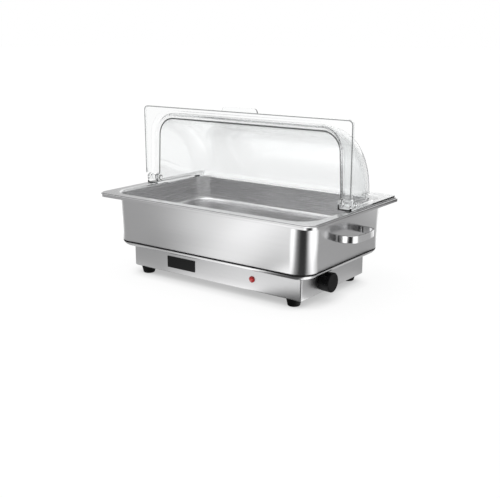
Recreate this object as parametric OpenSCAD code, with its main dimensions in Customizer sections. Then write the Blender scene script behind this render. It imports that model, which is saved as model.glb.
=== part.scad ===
// Electric chafing dish with a clear two-piece roll-top cover.
// Millimetres. The origin is the middle of the footprint on the table, +Z is up,
// the front is towards -Y and the control knob is on the right, towards +X.
// The front cover is drawn rolled back over the rear cover.

/* [Water pan] */
// Outside length of the rim
rim_length = 560; // [530:1:600]
// Outside width of the rim
rim_width = 355; // [340:1:385]
// Corner radius of the rim
rim_corner = 22; // [16:1:30]
// Width of the flat rim, from the wall to its edge
rim_flange = 21; // [19:1:28]
// Height of the rim's turned-down edge
rim_edge = 6.5; // [5:0.5:10]
// Corner radius of the well
well_corner = 45; // [38:1:55]
// Depth from the rim to the underside
well_depth = 118; // [105:1:135]
// Slope of the well's walls in degrees
well_draft = 2.8; // [1:0.1:4]
// Radius of the bend between the wall and the bottom
well_bend = 15; // [10:1:18]
// Radius of the bend between the wall and the rim
well_lip = 3; // [2:0.5:4]
// Sheet thickness of both pans
pan_sheet = 1; // [0.7:0.1:1.3]

/* [Food pan] */
// How far the edge of its rim lies inside the edge of the water pan's rim
food_margin = 3; // [2:0.5:5]
// Width of its rim, from the wall to its edge
food_flange = 21.5; // [20.5:0.5:25]
// Height of the rim's folded edge
food_edge = 1.4; // [1.4:0.1:3]
// Width of the rim's folded edge
food_fold = 2; // [1.4:0.2:3]
// Corner radius of its rim
food_corner = 19; // [12:1:24]
// Corner radius of its well
food_well_corner = 44; // [36:1:50]
// Radius of the bend between its wall and rim
food_lip = 6; // [5:0.5:7]
// Depth from the rim to the underside
food_depth = 63; // [40:1:90]
// Slope of its walls in degrees
food_draft = 5; // [3.5:0.5:7]
// Radius of the bend between its wall and bottom
food_bend = 10; // [6:1:16]

/* [Handles] */
// Width between the two legs of a handle
handle_width = 100; // [88:1:120]
// How far a handle stands out from the wall
handle_reach = 41; // [34:1:46]
// How much the middle of the bar bows out
handle_bow = 5; // [3:0.5:7]
// How much closer together the legs are at the bar than at the wall, on each side
handle_splay = 4.5; // [1:0.5:6]
// Radius of the bends between the legs and the bar, at the middle of the strap
handle_bend = 20; // [10:1:22]
// Height of the strap
handle_strap = 14.5; // [11:0.5:18]
// Thickness of the strap
handle_sheet = 2.5; // [2:0.1:3.5]
// Depth of the strap's middle below the rim
handle_drop = 48.5; // [40:0.5:60]

/* [Base] */
// Length of the base
base_length = 448; // [430:1:465]
// Width of the base
base_width = 246; // [238:0.5:256]
// Height of the housing's walls
base_height = 48; // [46:1:60]
// Radius of the housing's upright bends
base_corner = 4; // [2.5:0.5:7]
// Sheet thickness of the housing and of the bottom cover
base_sheet = 1; // [0.8:0.1:1.4]
// Width of the housing's top flange at the ends
top_flange_end = 32; // [28:1:36]
// Width of the housing's top flange at the front and back
top_flange_side = 27; // [24:1:30]
// Width of the housing's bottom flange
bottom_flange = 26; // [22:1:30]
// Height of a foot
foot_height = 16; // [12:1:24]
// Radius of a foot where it meets the base
foot_top = 16; // [12:0.5:16]
// Radius of a foot on the table
foot_bottom = 12.5; // [9:0.5:13]
// Distance of a foot's middle from the end of the base
foot_inset_end = 27.5; // [20:0.5:36]
// Distance of a foot's middle from the front or back of the base
foot_inset_side = 16; // [14:0.5:18]

/* [Roll-top cover] */
// From the food pan's front edge line back to the front cover's outside, on the hinge's radius
cover_front = 26.5; // [22.5:0.5:30.5]
// Wall of both covers
cover_wall = 3; // [2.4:0.1:3.4]
// From the end of the food pan's rim to the front cover's end at the hinge
cover_end = 27.6; // [26:0.1:31]
// How much the end walls lean in per millimetre of radius
cover_lean = 0.05; // [0.03:0.005:0.08]
// Outer radius of the front cover's corner between the top and an end wall
cover_corner = 45; // [35:1:55]
// How much smaller the rear cover's corner is
corner_step = 3; // [2:1:6]
// Space between the tops of the front cover and the rear cover inside it
cover_gap = 5; // [4:0.1:6]
// Space between their end walls
end_gap = 1.6; // [1.4:0.1:3]
// How far the flanges' edges lie inside the edge of the food pan's rim
flange_in = 4.5; // [1:0.5:5]
// Width of the front flange beyond the shell
flange_width = 17; // [15:0.5:20]
// Radius of the flare between the front cover's shell and its flange
flange_flare = 9; // [6:0.5:10]
// Depth of the front flange's turned-up edge, with the flange
flange_turn = 7; // [5:0.5:9]
// Thickness of the front flange's turned-up edge
flange_edge = 2.5; // [2:0.1:3]
// Corner radius of the flanges
flange_corner = 10; // [6:1:14]
// Width of the grip tab
grip_width = 92; // [70:1:120]
// How far the grip tab stands out from the flange
grip_reach = 9; // [6:0.5:13]
// How far the hinge lies in front of the middle
hinge_forward = 13.5; // [6:0.5:16]
// Height of the hinge above the food pan's rim
hinge_height = 13.9; // [13.5:0.1:17.5]
// Radius of a hinge pin where the covers turn on it
pin_radius = 4; // [3:0.1:4.6]
// Radius of a hinge pin's outer end
pin_head = 6; // [5.4:0.1:6.6]
// Radius of the covers' bosses round the pins
boss_radius = 9; // [8.4:0.1:9.6]

/* [Controls] */
// Radius of the knob
knob_radius = 20.5; // [16:0.5:22]
// How far the knob stands out from the housing
knob_reach = 25; // [20:0.5:30]
// Distance of the knob in front of the middle
knob_forward = 45; // [38:1:60]
// Radius of the thermostat's shaft
shaft_radius = 3; // [2.5:0.1:3.5]
// Radius of the thermostat's threaded bush
bush_radius = 5; // [4.4:0.1:6]
// Radius of the lamp's lens
lamp_radius = 6.8; // [6:0.1:8]
// Radius of the lamp's body
lamp_body_radius = 5; // [4:0.1:5.4]
// Distance of the lamp's middle from the right end of the base
lamp_end = 119.5; // [92:0.1:142]
// Width of the bare plate
plate_width = 77.5; // [60:0.5:95]
// Height of the bare plate
plate_height = 25.4; // [18:0.2:32]
// Thickness of the bare plate
plate_sheet = 1.2; // [0.8:0.1:2]
// Distance of the bare plate's middle from the left end of the base
plate_end = 138.4; // [102:0.1:152]

/* [Heater] */
// Radius of the heating tube
tube_radius = 4; // [3.2:0.1:4.5]
// Distance of the tube's outer runs from the front and back of the base
heater_side = 57; // [53:0.25:64]
// Distance of the tube's bends from the ends of the base
heater_end = 74; // [68:0.5:92]
// Thickness of the heat spreader
spreader_sheet = 2; // [1.5:0.1:3]
// Height of the heat shield above the bottom cover
shield_height = 28; // [24:1:30]

/* [Power inlet] */
// Distance of the inlet's middle from the right end of the base
inlet_end = 82.5; // [62:0.5:112]
// Width of the inlet's socket
socket_width = 24.4; // [23:0.2:26]
// Height of the inlet's socket
socket_height = 16.4; // [15.4:0.2:18]
// Depth of the inlet's socket
socket_depth = 16; // [13:0.5:18]
// Wall of the inlet's body
inlet_wall = 1.5; // [1.2:0.1:2]

/* [Hidden] */
$fn = 64;
// Clearances: pieces that rest on each other, pieces that turn, pieces that are pushed in
seat = 0.2;
turn_clear = 0.05;
push_clear = 0.05;
swing_clear = 1.7;
stop_clear = 0.3;
weld_gap = 0.05;
hole_clear = 0.2;

// Levels
cover_z = foot_height;
base_z = foot_height + base_sheet;
base_top = base_z + base_height;
rim_z = base_top + well_depth;
food_z = rim_z + seat + food_edge;
panel_z = base_z + base_height / 2;

// Water pan
well_x = rim_length / 2 - rim_flange;
well_y = rim_width / 2 - rim_flange;
handle_z = rim_z - handle_drop;
handle_root = 5;
handle_ease = 30;
handle_sweep = 90;
wall_x = well_x - (handle_drop - pan_sheet / 2) * tan(well_draft)
    - pan_sheet / 2 + pan_sheet / 2 / cos(well_draft) + weld_gap;

// Food pan
food_x = rim_length / 2 - food_margin;
food_y = rim_width / 2 - food_margin;
food_well_x = food_x - food_flange;
food_well_y = food_y - food_flange;

// Base
base_x = base_length / 2;
base_y = base_width / 2;
window_x = base_x - top_flange_end;
window_y = base_y - top_flange_side;
foot_x = base_x - foot_inset_end;
foot_y = base_y - foot_inset_side;
foot_screw = 2.5;
foot_head = 4.6;
foot_head_height = 3;
foot_pocket = 8;
foot_nut = 4.6;
foot_nut_height = 4;
cover_inset = 2;
cover_screw = 1.5;
cover_screw_head = 3;
cover_screw_y = base_y - bottom_flange / 2;
cover_screw_x = base_x - bottom_flange / 2;
stud_radius = 2.5;
stud_length = 12;
stud_nut = 4.6;
stud_nut_height = 4;
stud_x = base_x - top_flange_end / 2;
stud_y = window_y - 10;

// Roll-top cover
cover_radius = food_y - cover_front;
cover_half = food_x - cover_end;
flange_half = food_x - flange_in;
rear_reach = hinge_forward + food_y - flange_in;
hinge_y = -hinge_forward;
hinge_z = food_z + hinge_height;
lip_drop = hinge_height - stop_clear;
// The flared mouth is a little thicker than the shell, and its face lies just behind the flange's
mouth_wall = cover_wall + 0.4;
mouth_drop = lip_drop - mouth_wall / 2 - 0.1;
mouth_reach = flange_flare + 1;
lip_reach = cover_radius + flange_width;
arm_start = boss_radius + swing_clear;
arm_step = 1;
shell_start = boss_radius - 2;
rear_z = food_z + seat;
rear_top = rear_z + cover_wall;
rear_offset = cover_wall + cover_gap;
rear_end = cover_wall + end_gap;
roll_overlap = asin((hinge_z - rear_top - stop_clear) / cover_radius);
ear_inner = flange_half - 4.5;
pin_outer = flange_half + 3.5;
pin_shoulder = cover_half + 0.6;
pin_inner = cover_half - rear_end - cover_wall - 4;
rib_width = 2.5;
rib_clear = 1.5;
rib_drop = 7;
rib_long = 1.5 * food_x;
rib_side = 0.45 * food_y;
rib_start = 0.12 * food_y;

// Controls
knob_y = -knob_forward;
lamp_x = base_x - lamp_end;
plate_left = base_x - plate_end;
wall_in = base_x - base_sheet;
thermo_depth = 24;
thermo_width = 36;
thermo_height = 30;
bush_reach = 5;
bush_nut = 8;
bush_nut_height = 3;
knob_gap = 1.5;
knob_pocket = 7;
knob_bore = 17;
shaft_inner = wall_in - 14;
lamp_lens_sheet = 1.6;
lamp_dome = 3;
lamp_depth = 24;

// Heater
tube_pitch = (base_width - 2 * heater_side) / 3;
tube_run = base_length - 2 * heater_end;
spreader_x = window_x - 4;
spreader_y = window_y - 4;
spreader_z = base_top - spreader_sheet;
tube_z = spreader_z - seat - tube_radius;
tube_end = tube_run / 2 + 14;
terminal_radius = 1.8;
terminal_length = 18;
clamp_x = 0.3 * tube_run;
clamp_width = 12;
clamp_sheet = 1.5;
clamp_top = tube_z - tube_radius - seat;
clamp_screw = 1.7;
clamp_head = 3.2;
clamp_head_height = 2.2;
spacer_radius = 3.4;
spacer_y = [-tube_pitch, 0, tube_pitch];
shield_sheet = 0.8;
shield_x = tube_run / 2 + 20;
shield_y = 1.5 * tube_pitch + tube_radius + 8;
shield_tab = 12;
shield_top = base_z + shield_height;
tube_gap_z = (clamp_top + shield_top) / 2;
capillary_radius = 0.9;
bulb_radius = 3;
bulb_length = 0.28 * tube_run;
bulb_x = -0.22 * tube_run;
bulb_z = spreader_z - seat - bulb_radius;
cutout_x = 0.1 * tube_run;
cutout_y = tube_pitch;
cutout_radius = 8;
cutout_height = 8;

// Power inlet
inlet_x = base_x - inlet_end;
inlet_body_x = socket_width / 2 + inlet_wall;
inlet_body_z = socket_height / 2 + inlet_wall;
inlet_flange = 2.5;
inlet_ear = 20;
inlet_ear_radius = 5;
inlet_screw = 1.5;
inlet_back = 4;
pin_pitch = 7;
pin_step = 3.4;
tab_length = 8;

// Wires: the middles of their terminals
wire_radius = 1.1;
thermo_back = wall_in - thermo_depth;
tab_y = base_y - base_sheet - socket_depth - inlet_back + base_sheet + inlet_flange - tab_length;
live_tab = [inlet_x - pin_pitch, tab_y, panel_z - pin_step / 2];
neutral_tab = [inlet_x + pin_pitch, tab_y, panel_z - pin_step / 2];
earth_tab = [inlet_x, tab_y, panel_z + pin_step / 2];
earth_stud_at = [inlet_x - 45, base_y - base_sheet, panel_z];
front_terminal = [tube_end + terminal_length, -1.5 * tube_pitch, tube_z];
back_terminal = [tube_end + terminal_length, 1.5 * tube_pitch, tube_z];
thermo_tabs = [for (k = [-1, 0, 1]) [thermo_back, knob_y + 10 * k, panel_z - 8]];
lamp_tabs = [for (k = [-1, 1]) [lamp_x + 2.5 * k, -base_y + base_sheet + lamp_depth, panel_z]];

// Paths and sections
function unit(v) = v / norm(v);

// The points of a round bend of radius r at b, on the way from a to c
function bend(a, b, c, r, n) =
    let (u = unit(a - b), v = unit(c - b), half = acos(u * v) / 2,
         m = b + unit(u + v) * r / sin(half),
         s = b + u * r / tan(half) - m,
         e = b + v * r / tan(half) - m,
         from = atan2(s[1], s[0]),
         turn = atan2(s[0] * e[1] - s[1] * e[0], s * e))
    [for (i = [0:n]) m + r * [cos(from + turn * i / n), sin(from + turn * i / n)]];

// A path through the points p, bent at each by its radius in r
function bent(p, r, n = 8) = [for (i = [0:len(p) - 1])
    each r[i] == 0 ? [p[i]] : bend(p[i - 1], p[i], p[i + 1], r[i], n)];

// The path p moved sideways by d, to its left
function aside(p, d) = [for (i = [0:len(p) - 1])
    let (a = i == 0 ? unit(p[1] - p[0]) : unit(p[i] - p[i - 1]),
         b = i == len(p) - 1 ? a : unit(p[i + 1] - p[i]),
         m = unit(a + b))
    p[i] + d / (m * a) * [-m[1], m[0]]];

function backwards(p) = [for (i = [len(p) - 1:-1:0]) p[i]];
function swapped(p) = [for (q = p) [q[1], q[0]]];

// Sheet of thickness t whose middle follows p
function sheet(p, t) = concat(aside(p, t / 2), backwards(aside(p, -t / 2)));

module rounded(x, y, r) {
    square([2 * x, 2 * (y - r)], center = true);
    square([2 * (x - r), 2 * y], center = true);
    for (i = [-1, 1], j = [-1, 1]) translate([i * (x - r), j * (y - r)]) circle(r);
}

// A section, drawn outwards and up, swept round a rectangle with round corners
module swept(x, y) {
    for (side = [0, 180]) rotate(side) {
        translate([x, y, 0]) rotate([90, 0, 0]) linear_extrude(2 * y) children();
        rotate(90) translate([y, x, 0]) rotate([90, 0, 0]) linear_extrude(2 * x) children();
        translate([x, y, 0]) rotate_extrude(angle = 90) children();
        translate([-x, y, 0]) rotate(90) rotate_extrude(angle = 90) children();
    }
}

// The well of a pan with its bottom and the start of its rim.
// x, y and r are the outside of the wall at the top, z0 and z1 the outer faces
module well(x, y, r, z0, z1, draft, low, high, t) {
    top = r - t / 2;
    foot = top - (z1 - z0 - t) * tan(draft);
    p = [[0, z0 + t / 2], [foot, z0 + t / 2], [top, z1 - t / 2], [top + high + 2, z1 - t / 2]];
    swept(x - r, y - r) polygon(sheet(bent(p, [0, low, high, 0]), t));
    translate([r - x, r - y, z0]) cube([2 * (x - r), 2 * (y - r), t]);
}

// Smooth points through the points p
function curve(p, n = 4) = concat([for (i = [0:len(p) - 2])
    let (a = p[max(i - 1, 0)], b = p[i], c = p[i + 1], d = p[min(i + 2, len(p) - 1)])
    each [for (k = [0:n - 1]) let (t = k / n)
        0.5 * (2 * b + (c - a) * t + (2 * a - 5 * b + 4 * c - d) * t * t
            + (3 * b - a - 3 * c + d) * t * t * t)]], [p[len(p) - 1]]);

function heading(p, i) = unit(p[min(i + 1, len(p) - 1)] - p[max(i - 1, 0)]);

// The side direction is carried along the path, so that the tube doesn't twist
function sideways(p, i = 0, last = [0, 0, 1]) =
    let (h = heading(p, i), s = last - (last * h) * h,
         q = unit(norm(s) > 0.1 ? s : cross(h, [0.6, 0.8, 0.1])))
    i == len(p) - 1 ? [q] : concat([q], sideways(p, i + 1, q));

module tube(path, r, sides = 8) {
    p = curve(path);
    s = sideways(p);
    n = len(p);
    rings = [for (i = [0:n - 1]) let (v = cross(heading(p, i), s[i]))
        for (k = [0:sides - 1]) p[i] + r * (cos(360 * k / sides) * s[i] + sin(360 * k / sides) * v)];
    walls = [for (i = [0:n - 2], k = [0:sides - 1])
        let (a = i * sides + k, b = i * sides + (k + 1) % sides)
        each [[a, a + sides, b], [b, a + sides, b + sides]]];
    ends = [for (k = [1:sides - 2])
        each [[0, k, k + 1], [(n - 1) * sides, (n - 1) * sides + k + 1, (n - 1) * sides + k]]];
    polyhedron(rings, concat(walls, ends));
}

// A shape turned so that what it extrudes upwards runs to the right
module along_x() {
    rotate([90, 0, 90]) children();
}

module hex_nut(radius, height, bore) {
    difference() {
        cylinder(r = radius, h = height, $fn = 6);
        translate([0, 0, -1]) cylinder(r = bore, h = height + 2);
    }
}

module at_feet() {
    for (i = [-1, 1], j = [-1, 1]) translate([i * foot_x, j * foot_y, 0]) children();
}

module at_studs() {
    for (i = [-1, 1], j = [-1, 1]) translate([i * stud_x, j * stud_y, 0]) children();
}

module at_cover_screws() {
    for (i = [-1, 1]) {
        translate([i * cover_screw_x, 0, 0]) children();
        for (x = [-base_x / 3, base_x / 3]) translate([x, i * cover_screw_y, 0]) children();
    }
}

module at_clamp_screws() {
    for (i = [-1, 1], y = spacer_y) translate([i * clamp_x, y, 0]) children();
}

module at_shield_screws() {
    for (i = [-1, 1], j = [-1, 1])
        translate([i * (shield_x - 15), j * (shield_y - shield_tab / 2), 0]) children();
}

// The base: a folded sheet-steel housing, open in the middle of its top and bottom
module base_housing() {
    color([0.72, 0.72, 0.73]) difference() {
        translate([0, 0, base_z]) union() {
            linear_extrude(base_height) difference() {
                rounded(base_x, base_y, base_corner);
                rounded(wall_in, base_y - base_sheet, base_corner - base_sheet);
            }
            linear_extrude(base_sheet) difference() {
                rounded(base_x, base_y, base_corner);
                square([2 * (base_x - bottom_flange), 2 * (base_y - bottom_flange)], center = true);
            }
            translate([0, 0, base_height - base_sheet]) linear_extrude(base_sheet) difference() {
                rounded(base_x, base_y, base_corner);
                square([2 * window_x, 2 * window_y], center = true);
            }
        }
        at_feet() translate([0, 0, base_z - 1]) cylinder(r = foot_screw + hole_clear, h = base_sheet + 2);
        at_cover_screws() translate([0, 0, base_z - 1])
            cylinder(r = cover_screw + push_clear, h = base_sheet + 2);
        at_studs() translate([0, 0, base_top - base_sheet - 1])
            cylinder(r = stud_radius + hole_clear, h = base_sheet + 2);
        translate([base_x - base_sheet - 1, knob_y, panel_z]) along_x()
            cylinder(r = bush_radius + hole_clear, h = base_sheet + 2);
        translate([lamp_x, -base_y - 1, panel_z]) rotate([-90, 0, 0])
            cylinder(r = lamp_body_radius + hole_clear, h = base_sheet + 2);
        translate([inlet_x, base_y, panel_z]) {
            cube([2 * (inlet_body_x + hole_clear), 4 * base_sheet, 2 * (inlet_body_z + hole_clear)],
                center = true);
            for (i = [-1, 1]) translate([i * inlet_ear, 2, 0]) rotate([90, 0, 0])
                cylinder(r = inlet_screw + hole_clear, h = base_sheet + 4);
        }
        translate(earth_stud_at + [0, base_sheet + 1, 0]) rotate([90, 0, 0])
            cylinder(r = 2 + push_clear, h = base_sheet + 2);
    }
}

// The bottom cover: a flat plate with two rows of vent slots, under the housing's flange
module bottom_cover() {
    color([0.66, 0.66, 0.67]) difference() {
        translate([0, 0, cover_z]) linear_extrude(base_sheet) difference() {
            rounded(base_x - cover_inset, base_y - cover_inset, base_corner);
            for (j = [-1, 1], x = [-100:25:100]) translate([x, j * 40]) {
                square([5, 32], center = true);
                for (k = [-1, 1]) translate([0, k * 16]) circle(2.5);
            }
        }
        at_feet() translate([0, 0, cover_z - 1]) cylinder(r = foot_screw + hole_clear, h = base_sheet + 2);
        at_cover_screws() translate([0, 0, cover_z - 1])
            cylinder(r = cover_screw + hole_clear, h = base_sheet + 2);
        at_shield_screws() translate([0, 0, cover_z - 1])
            cylinder(r = cover_screw + hole_clear, h = base_sheet + 2);
    }
}

module pan_screw(radius, head, head_height, length) {
    translate([0, 0, -head_height]) cylinder(r = head, h = head_height);
    cylinder(r = radius, h = length);
}

module bottom_cover_screws() {
    color([0.75, 0.75, 0.75]) at_cover_screws() translate([0, 0, cover_z])
        pan_screw(cover_screw, cover_screw_head, 2, 2 * base_sheet + 3);
}

// A foot: a rubber cone with its screw sunk into it from below
module foot(i, j) {
    color([0.08, 0.08, 0.08]) translate([i * foot_x, j * foot_y, 0]) difference() {
        rotate_extrude() polygon(bent([[0, 0], [foot_bottom, 0], [foot_top, foot_height], [0, foot_height]],
            [0, 2, 0, 0]));
        translate([0, 0, -1]) cylinder(r = foot_head + 1, h = foot_pocket + 1);
        translate([0, 0, -1]) cylinder(r = foot_screw + hole_clear, h = foot_height + 2);
    }
}

module foot_front_left() { foot(-1, -1); }
module foot_front_right() { foot(1, -1); }
module foot_rear_left() { foot(-1, 1); }
module foot_rear_right() { foot(1, 1); }

module foot_screws() {
    color([0.75, 0.75, 0.75]) at_feet() translate([0, 0, foot_pocket])
        pan_screw(foot_screw, foot_head, foot_head_height,
            foot_height - foot_pocket + 2 * base_sheet + foot_nut_height + 1.5);
}

module foot_nuts() {
    color([0.75, 0.75, 0.75]) at_feet() translate([0, 0, base_z + base_sheet])
        hex_nut(foot_nut, foot_nut_height, foot_screw + push_clear);
}

// The water pan: a deep drawn well with a wide flat rim and a turned-down edge
module water_pan() {
    color([0.78, 0.78, 0.79]) {
        well(well_x, well_y, well_corner, base_top, rim_z, well_draft, well_bend, well_lip, pan_sheet);
        translate([0, 0, rim_z - pan_sheet]) linear_extrude(pan_sheet) difference() {
            rounded(rim_length / 2, rim_width / 2, rim_corner);
            rounded(well_x + well_lip, well_y + well_lip, well_corner + well_lip);
        }
        translate([0, 0, rim_z - rim_edge]) linear_extrude(rim_edge) difference() {
            rounded(rim_length / 2, rim_width / 2, rim_corner);
            rounded(rim_length / 2 - pan_sheet, rim_width / 2 - pan_sheet, rim_corner - pan_sheet);
        }
    }
}

// Studs welded under the pan, which hold it down on the housing's top flange
module pan_studs() {
    color([0.75, 0.75, 0.75]) at_studs() translate([0, 0, base_top - stud_length])
        cylinder(r = stud_radius, h = stud_length);
}

module pan_nuts() {
    color([0.75, 0.75, 0.75]) at_studs() translate([0, 0, base_top - base_sheet - stud_nut_height])
        hex_nut(stud_nut, stud_nut_height, stud_radius + push_clear);
}

// A handle: a bowed strap whose two ends are welded to the pan's end wall
module handle() {
    x = handle_reach - handle_sheet / 2;
    y = handle_width / 2 - handle_sheet / 2;
    leg = x - handle_bow;
    near = y - handle_splay;
    middle = 0.27 * y;
    p = bent([[-2, -y], [handle_root, -y], [leg, -near], [x, -middle],
            [x, middle], [leg, near], [handle_root, y], [-2, y]],
        [0, handle_ease, handle_bend, handle_sweep, handle_sweep, handle_bend, handle_ease, 0]);
    color([0.82, 0.82, 0.83]) translate([wall_x, 0, handle_z]) intersection() {
        translate([0, 0, -handle_strap / 2]) linear_extrude(handle_strap) polygon(sheet(p, handle_sheet));
        rotate([0, well_draft, 0]) translate([0, -handle_width, -handle_strap])
            cube([2 * handle_reach, 2 * handle_width, 2 * handle_strap]);
    }
}

module handle_right() { handle(); }
module handle_left() { mirror([1, 0, 0]) handle(); }

// The heat spreader: a plate pressed against the pan's underside
module heater_plate() {
    color([0.8, 0.81, 0.82]) difference() {
        translate([0, 0, spreader_z]) linear_extrude(spreader_sheet) rounded(spreader_x, spreader_y, 6);
        at_clamp_screws() translate([0, 0, spreader_z - 1])
            cylinder(r = clamp_screw + push_clear, h = 1 + 0.75 * spreader_sheet);
    }
}

// The heating tube: four runs joined by three bends under the spreader
module heating_element() {
    color([0.35, 0.33, 0.31]) translate([0, 0, tube_z]) {
        for (k = [-1.5:1.5]) translate([-tube_run / 2, k * tube_pitch, 0]) along_x()
            cylinder(r = tube_radius, h = tube_run);
        for (k = [-1, 1]) {
            translate([-tube_run / 2, k * tube_pitch, 0]) rotate(90) rotate_extrude(angle = 180)
                translate([tube_pitch / 2, 0]) circle(tube_radius);
            translate([tube_run / 2, 1.5 * k * tube_pitch, 0]) along_x()
                cylinder(r = tube_radius, h = tube_end - tube_run / 2);
        }
        translate([tube_run / 2, 0, 0]) rotate(-90) rotate_extrude(angle = 180)
            translate([tube_pitch / 2, 0]) circle(tube_radius);
    }
}

module element_terminals() {
    color([0.75, 0.6, 0.3]) for (k = [-1.5, 1.5]) translate([tube_end, k * tube_pitch, tube_z]) along_x()
        cylinder(r = terminal_radius, h = terminal_length);
}

// Two bars that clamp the tube to the spreader
module element_clamps() {
    color([0.7, 0.7, 0.71]) difference() {
        for (i = [-1, 1]) translate([i * clamp_x, 0, clamp_top - clamp_sheet / 2])
            cube([clamp_width, 3 * tube_pitch + 4 * tube_radius, clamp_sheet], center = true);
        at_clamp_screws() translate([0, 0, clamp_top - clamp_sheet - 1])
            cylinder(r = clamp_screw + push_clear, h = clamp_sheet + 2);
    }
}

module clamp_spacers() {
    color([0.7, 0.7, 0.71]) at_clamp_screws() difference() {
        translate([0, 0, clamp_top]) cylinder(r = spacer_radius, h = spreader_z - clamp_top);
        translate([0, 0, clamp_top - 1]) cylinder(r = clamp_screw + push_clear, h = spreader_z - clamp_top + 2);
    }
}

module clamp_screws() {
    color([0.75, 0.75, 0.75]) at_clamp_screws() translate([0, 0, clamp_top - clamp_sheet])
        pan_screw(clamp_screw, clamp_head, clamp_head_height,
            clamp_sheet + spreader_z - clamp_top + 0.6 * spreader_sheet);
}

// The heat shield: a channel upside down, which stands on the bottom cover over the wires
module heat_shield() {
    y = shield_y - shield_sheet / 2;
    z = shield_top - shield_sheet / 2;
    low = base_z + shield_sheet / 2;
    p = bent([[shield_tab - y, low], [-y, low], [-y, z], [y, z], [y, low], [y - shield_tab, low]],
        [0, 2, 3, 3, 2, 0], 4);
    color([0.74, 0.75, 0.76]) difference() {
        translate([-shield_x, 0, 0]) along_x() linear_extrude(2 * shield_x) polygon(sheet(p, shield_sheet));
        at_shield_screws() translate([0, 0, base_z - 1])
            cylinder(r = cover_screw + push_clear, h = shield_sheet + 2);
    }
}

module shield_screws() {
    color([0.75, 0.75, 0.75]) at_shield_screws() translate([0, 0, cover_z])
        pan_screw(cover_screw, cover_screw_head, 2, base_sheet + shield_sheet + 3);
}

// The thermostat: its body stands against the inside of the right wall, its bush goes through
module thermostat() {
    color([0.85, 0.83, 0.78]) difference() {
        union() {
            translate([thermo_back, knob_y - thermo_width / 2, panel_z - thermo_height / 2])
                cube([thermo_depth, thermo_width, thermo_height]);
            translate([thermo_back + 2, knob_y, panel_z]) along_x()
                cylinder(r = bush_radius, h = base_x + bush_reach - thermo_back - 2);
            for (t = thermo_tabs) translate(t + [-7, -2, -0.4]) cube([8, 4, 0.8]);
        }
        translate([shaft_inner - 1, knob_y, panel_z]) along_x()
            cylinder(r = shaft_radius + turn_clear, h = base_x + bush_reach - shaft_inner + 2);
    }
}

module thermostat_nut() {
    color([0.75, 0.75, 0.75]) translate([base_x, knob_y, panel_z]) along_x()
        hex_nut(bush_nut, bush_nut_height, bush_radius + push_clear);
}

module thermostat_shaft() {
    color([0.75, 0.75, 0.75]) translate([shaft_inner, knob_y, panel_z]) along_x()
        cylinder(r = shaft_radius, h = base_x + knob_reach - (knob_reach - knob_gap - knob_bore) / 2 - 0.5
            - shaft_inner);
}

// The knob: a plain round cap, hollow at the back where it covers the nut
module knob() {
    r = knob_radius;
    h = knob_reach - knob_gap;
    color([0.06, 0.06, 0.06]) translate([base_x + knob_gap, knob_y, panel_z]) along_x() difference() {
        rotate_extrude() polygon(bent([[0, 0], [r - 1, 0], [r, h], [0, h]], [0, 1.5, 2, 0]));
        translate([0, 0, -1]) cylinder(r = bush_nut + 3, h = knob_pocket + 1);
        cylinder(r = shaft_radius + push_clear, h = h - (h - knob_bore) / 2);
    }
}

// The thermostat's sensor lies under the spreader between two runs of the tube
module sensor_bulb() {
    color([0.78, 0.5, 0.35]) translate([bulb_x, 0, bulb_z]) along_x()
        cylinder(r = bulb_radius, h = bulb_length);
}

module bulb_clip() {
    r = bulb_radius + seat + 0.4;
    low = bulb_z - r;
    z = spreader_z - 0.4;
    p = bent([[-r - 7, z], [-r, z], [-r, low], [r, low], [r, z], [r + 7, z]],
        [0, 0.8, r - 0.2, r - 0.2, 0.8, 0], 6);
    color([0.7, 0.7, 0.71]) translate([bulb_x + bulb_length / 2 - 5, 0, 0]) along_x()
        linear_extrude(10) polygon(sheet(p, 0.8));
}

module capillary_tube() {
    start = [bulb_x + bulb_length + seat, 0, bulb_z];
    end = [thermo_back - seat, knob_y + 4, panel_z + 7];
    color([0.78, 0.5, 0.35]) tube([start, start + [8, 0, 0], start + [20, 5, 0],
        [clamp_x - 24, 12, bulb_z - 2], [clamp_x - 10, 12, tube_gap_z - 1], [clamp_x + 20, 10, tube_gap_z + 1],
        [tube_run / 2 + 10, 0, tube_gap_z + 1.5], [tube_run / 2 + 34, knob_y / 2, tube_gap_z + 1.5],
        end + [-10, 0, 0], end], capillary_radius);
}

// A safety cut-out pressed against the spreader
module thermal_cutout() {
    color([0.15, 0.15, 0.16]) translate([cutout_x, cutout_y, spreader_z]) {
        translate([0, 0, -3]) cylinder(r = cutout_radius, h = 3);
        translate([0, 0, -cutout_height]) cylinder(r = cutout_radius - 1, h = cutout_height - 2);
        for (i = [-1, 1]) translate([4 * i - 0.4, -2, -cutout_height - 5]) cube([0.8, 4, 6]);
    }
}

// The red lamp, pushed into the front wall and held by a ring behind it
module lamp_lens() {
    color([0.8, 0.05, 0.05]) translate([lamp_x, -base_y, panel_z]) rotate([90, 0, 0])
        rotate_extrude() polygon(concat([[0, 0], [lamp_radius, 0], [lamp_radius, lamp_lens_sheet]],
            [for (a = [0:10:90]) [(lamp_radius - 0.8) * cos(a), lamp_lens_sheet + lamp_dome * sin(a)]]));
}

module lamp_body() {
    color([0.12, 0.12, 0.12]) translate([lamp_x, -base_y, panel_z]) rotate([-90, 0, 0]) {
        cylinder(r = lamp_body_radius, h = lamp_depth);
        for (k = [-1, 1]) translate([2.5 * k - 0.4, -1.5, lamp_depth - 1]) cube([0.8, 3, 6]);
    }
}

module lamp_clip() {
    color([0.7, 0.7, 0.71]) translate([lamp_x, -base_y + base_sheet, panel_z]) rotate([-90, 0, 0])
        difference() {
            cylinder(r = lamp_body_radius + 3.5, h = 1.2);
            translate([0, 0, -1]) cylinder(r = lamp_body_radius + push_clear, h = 4);
        }
}

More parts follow.
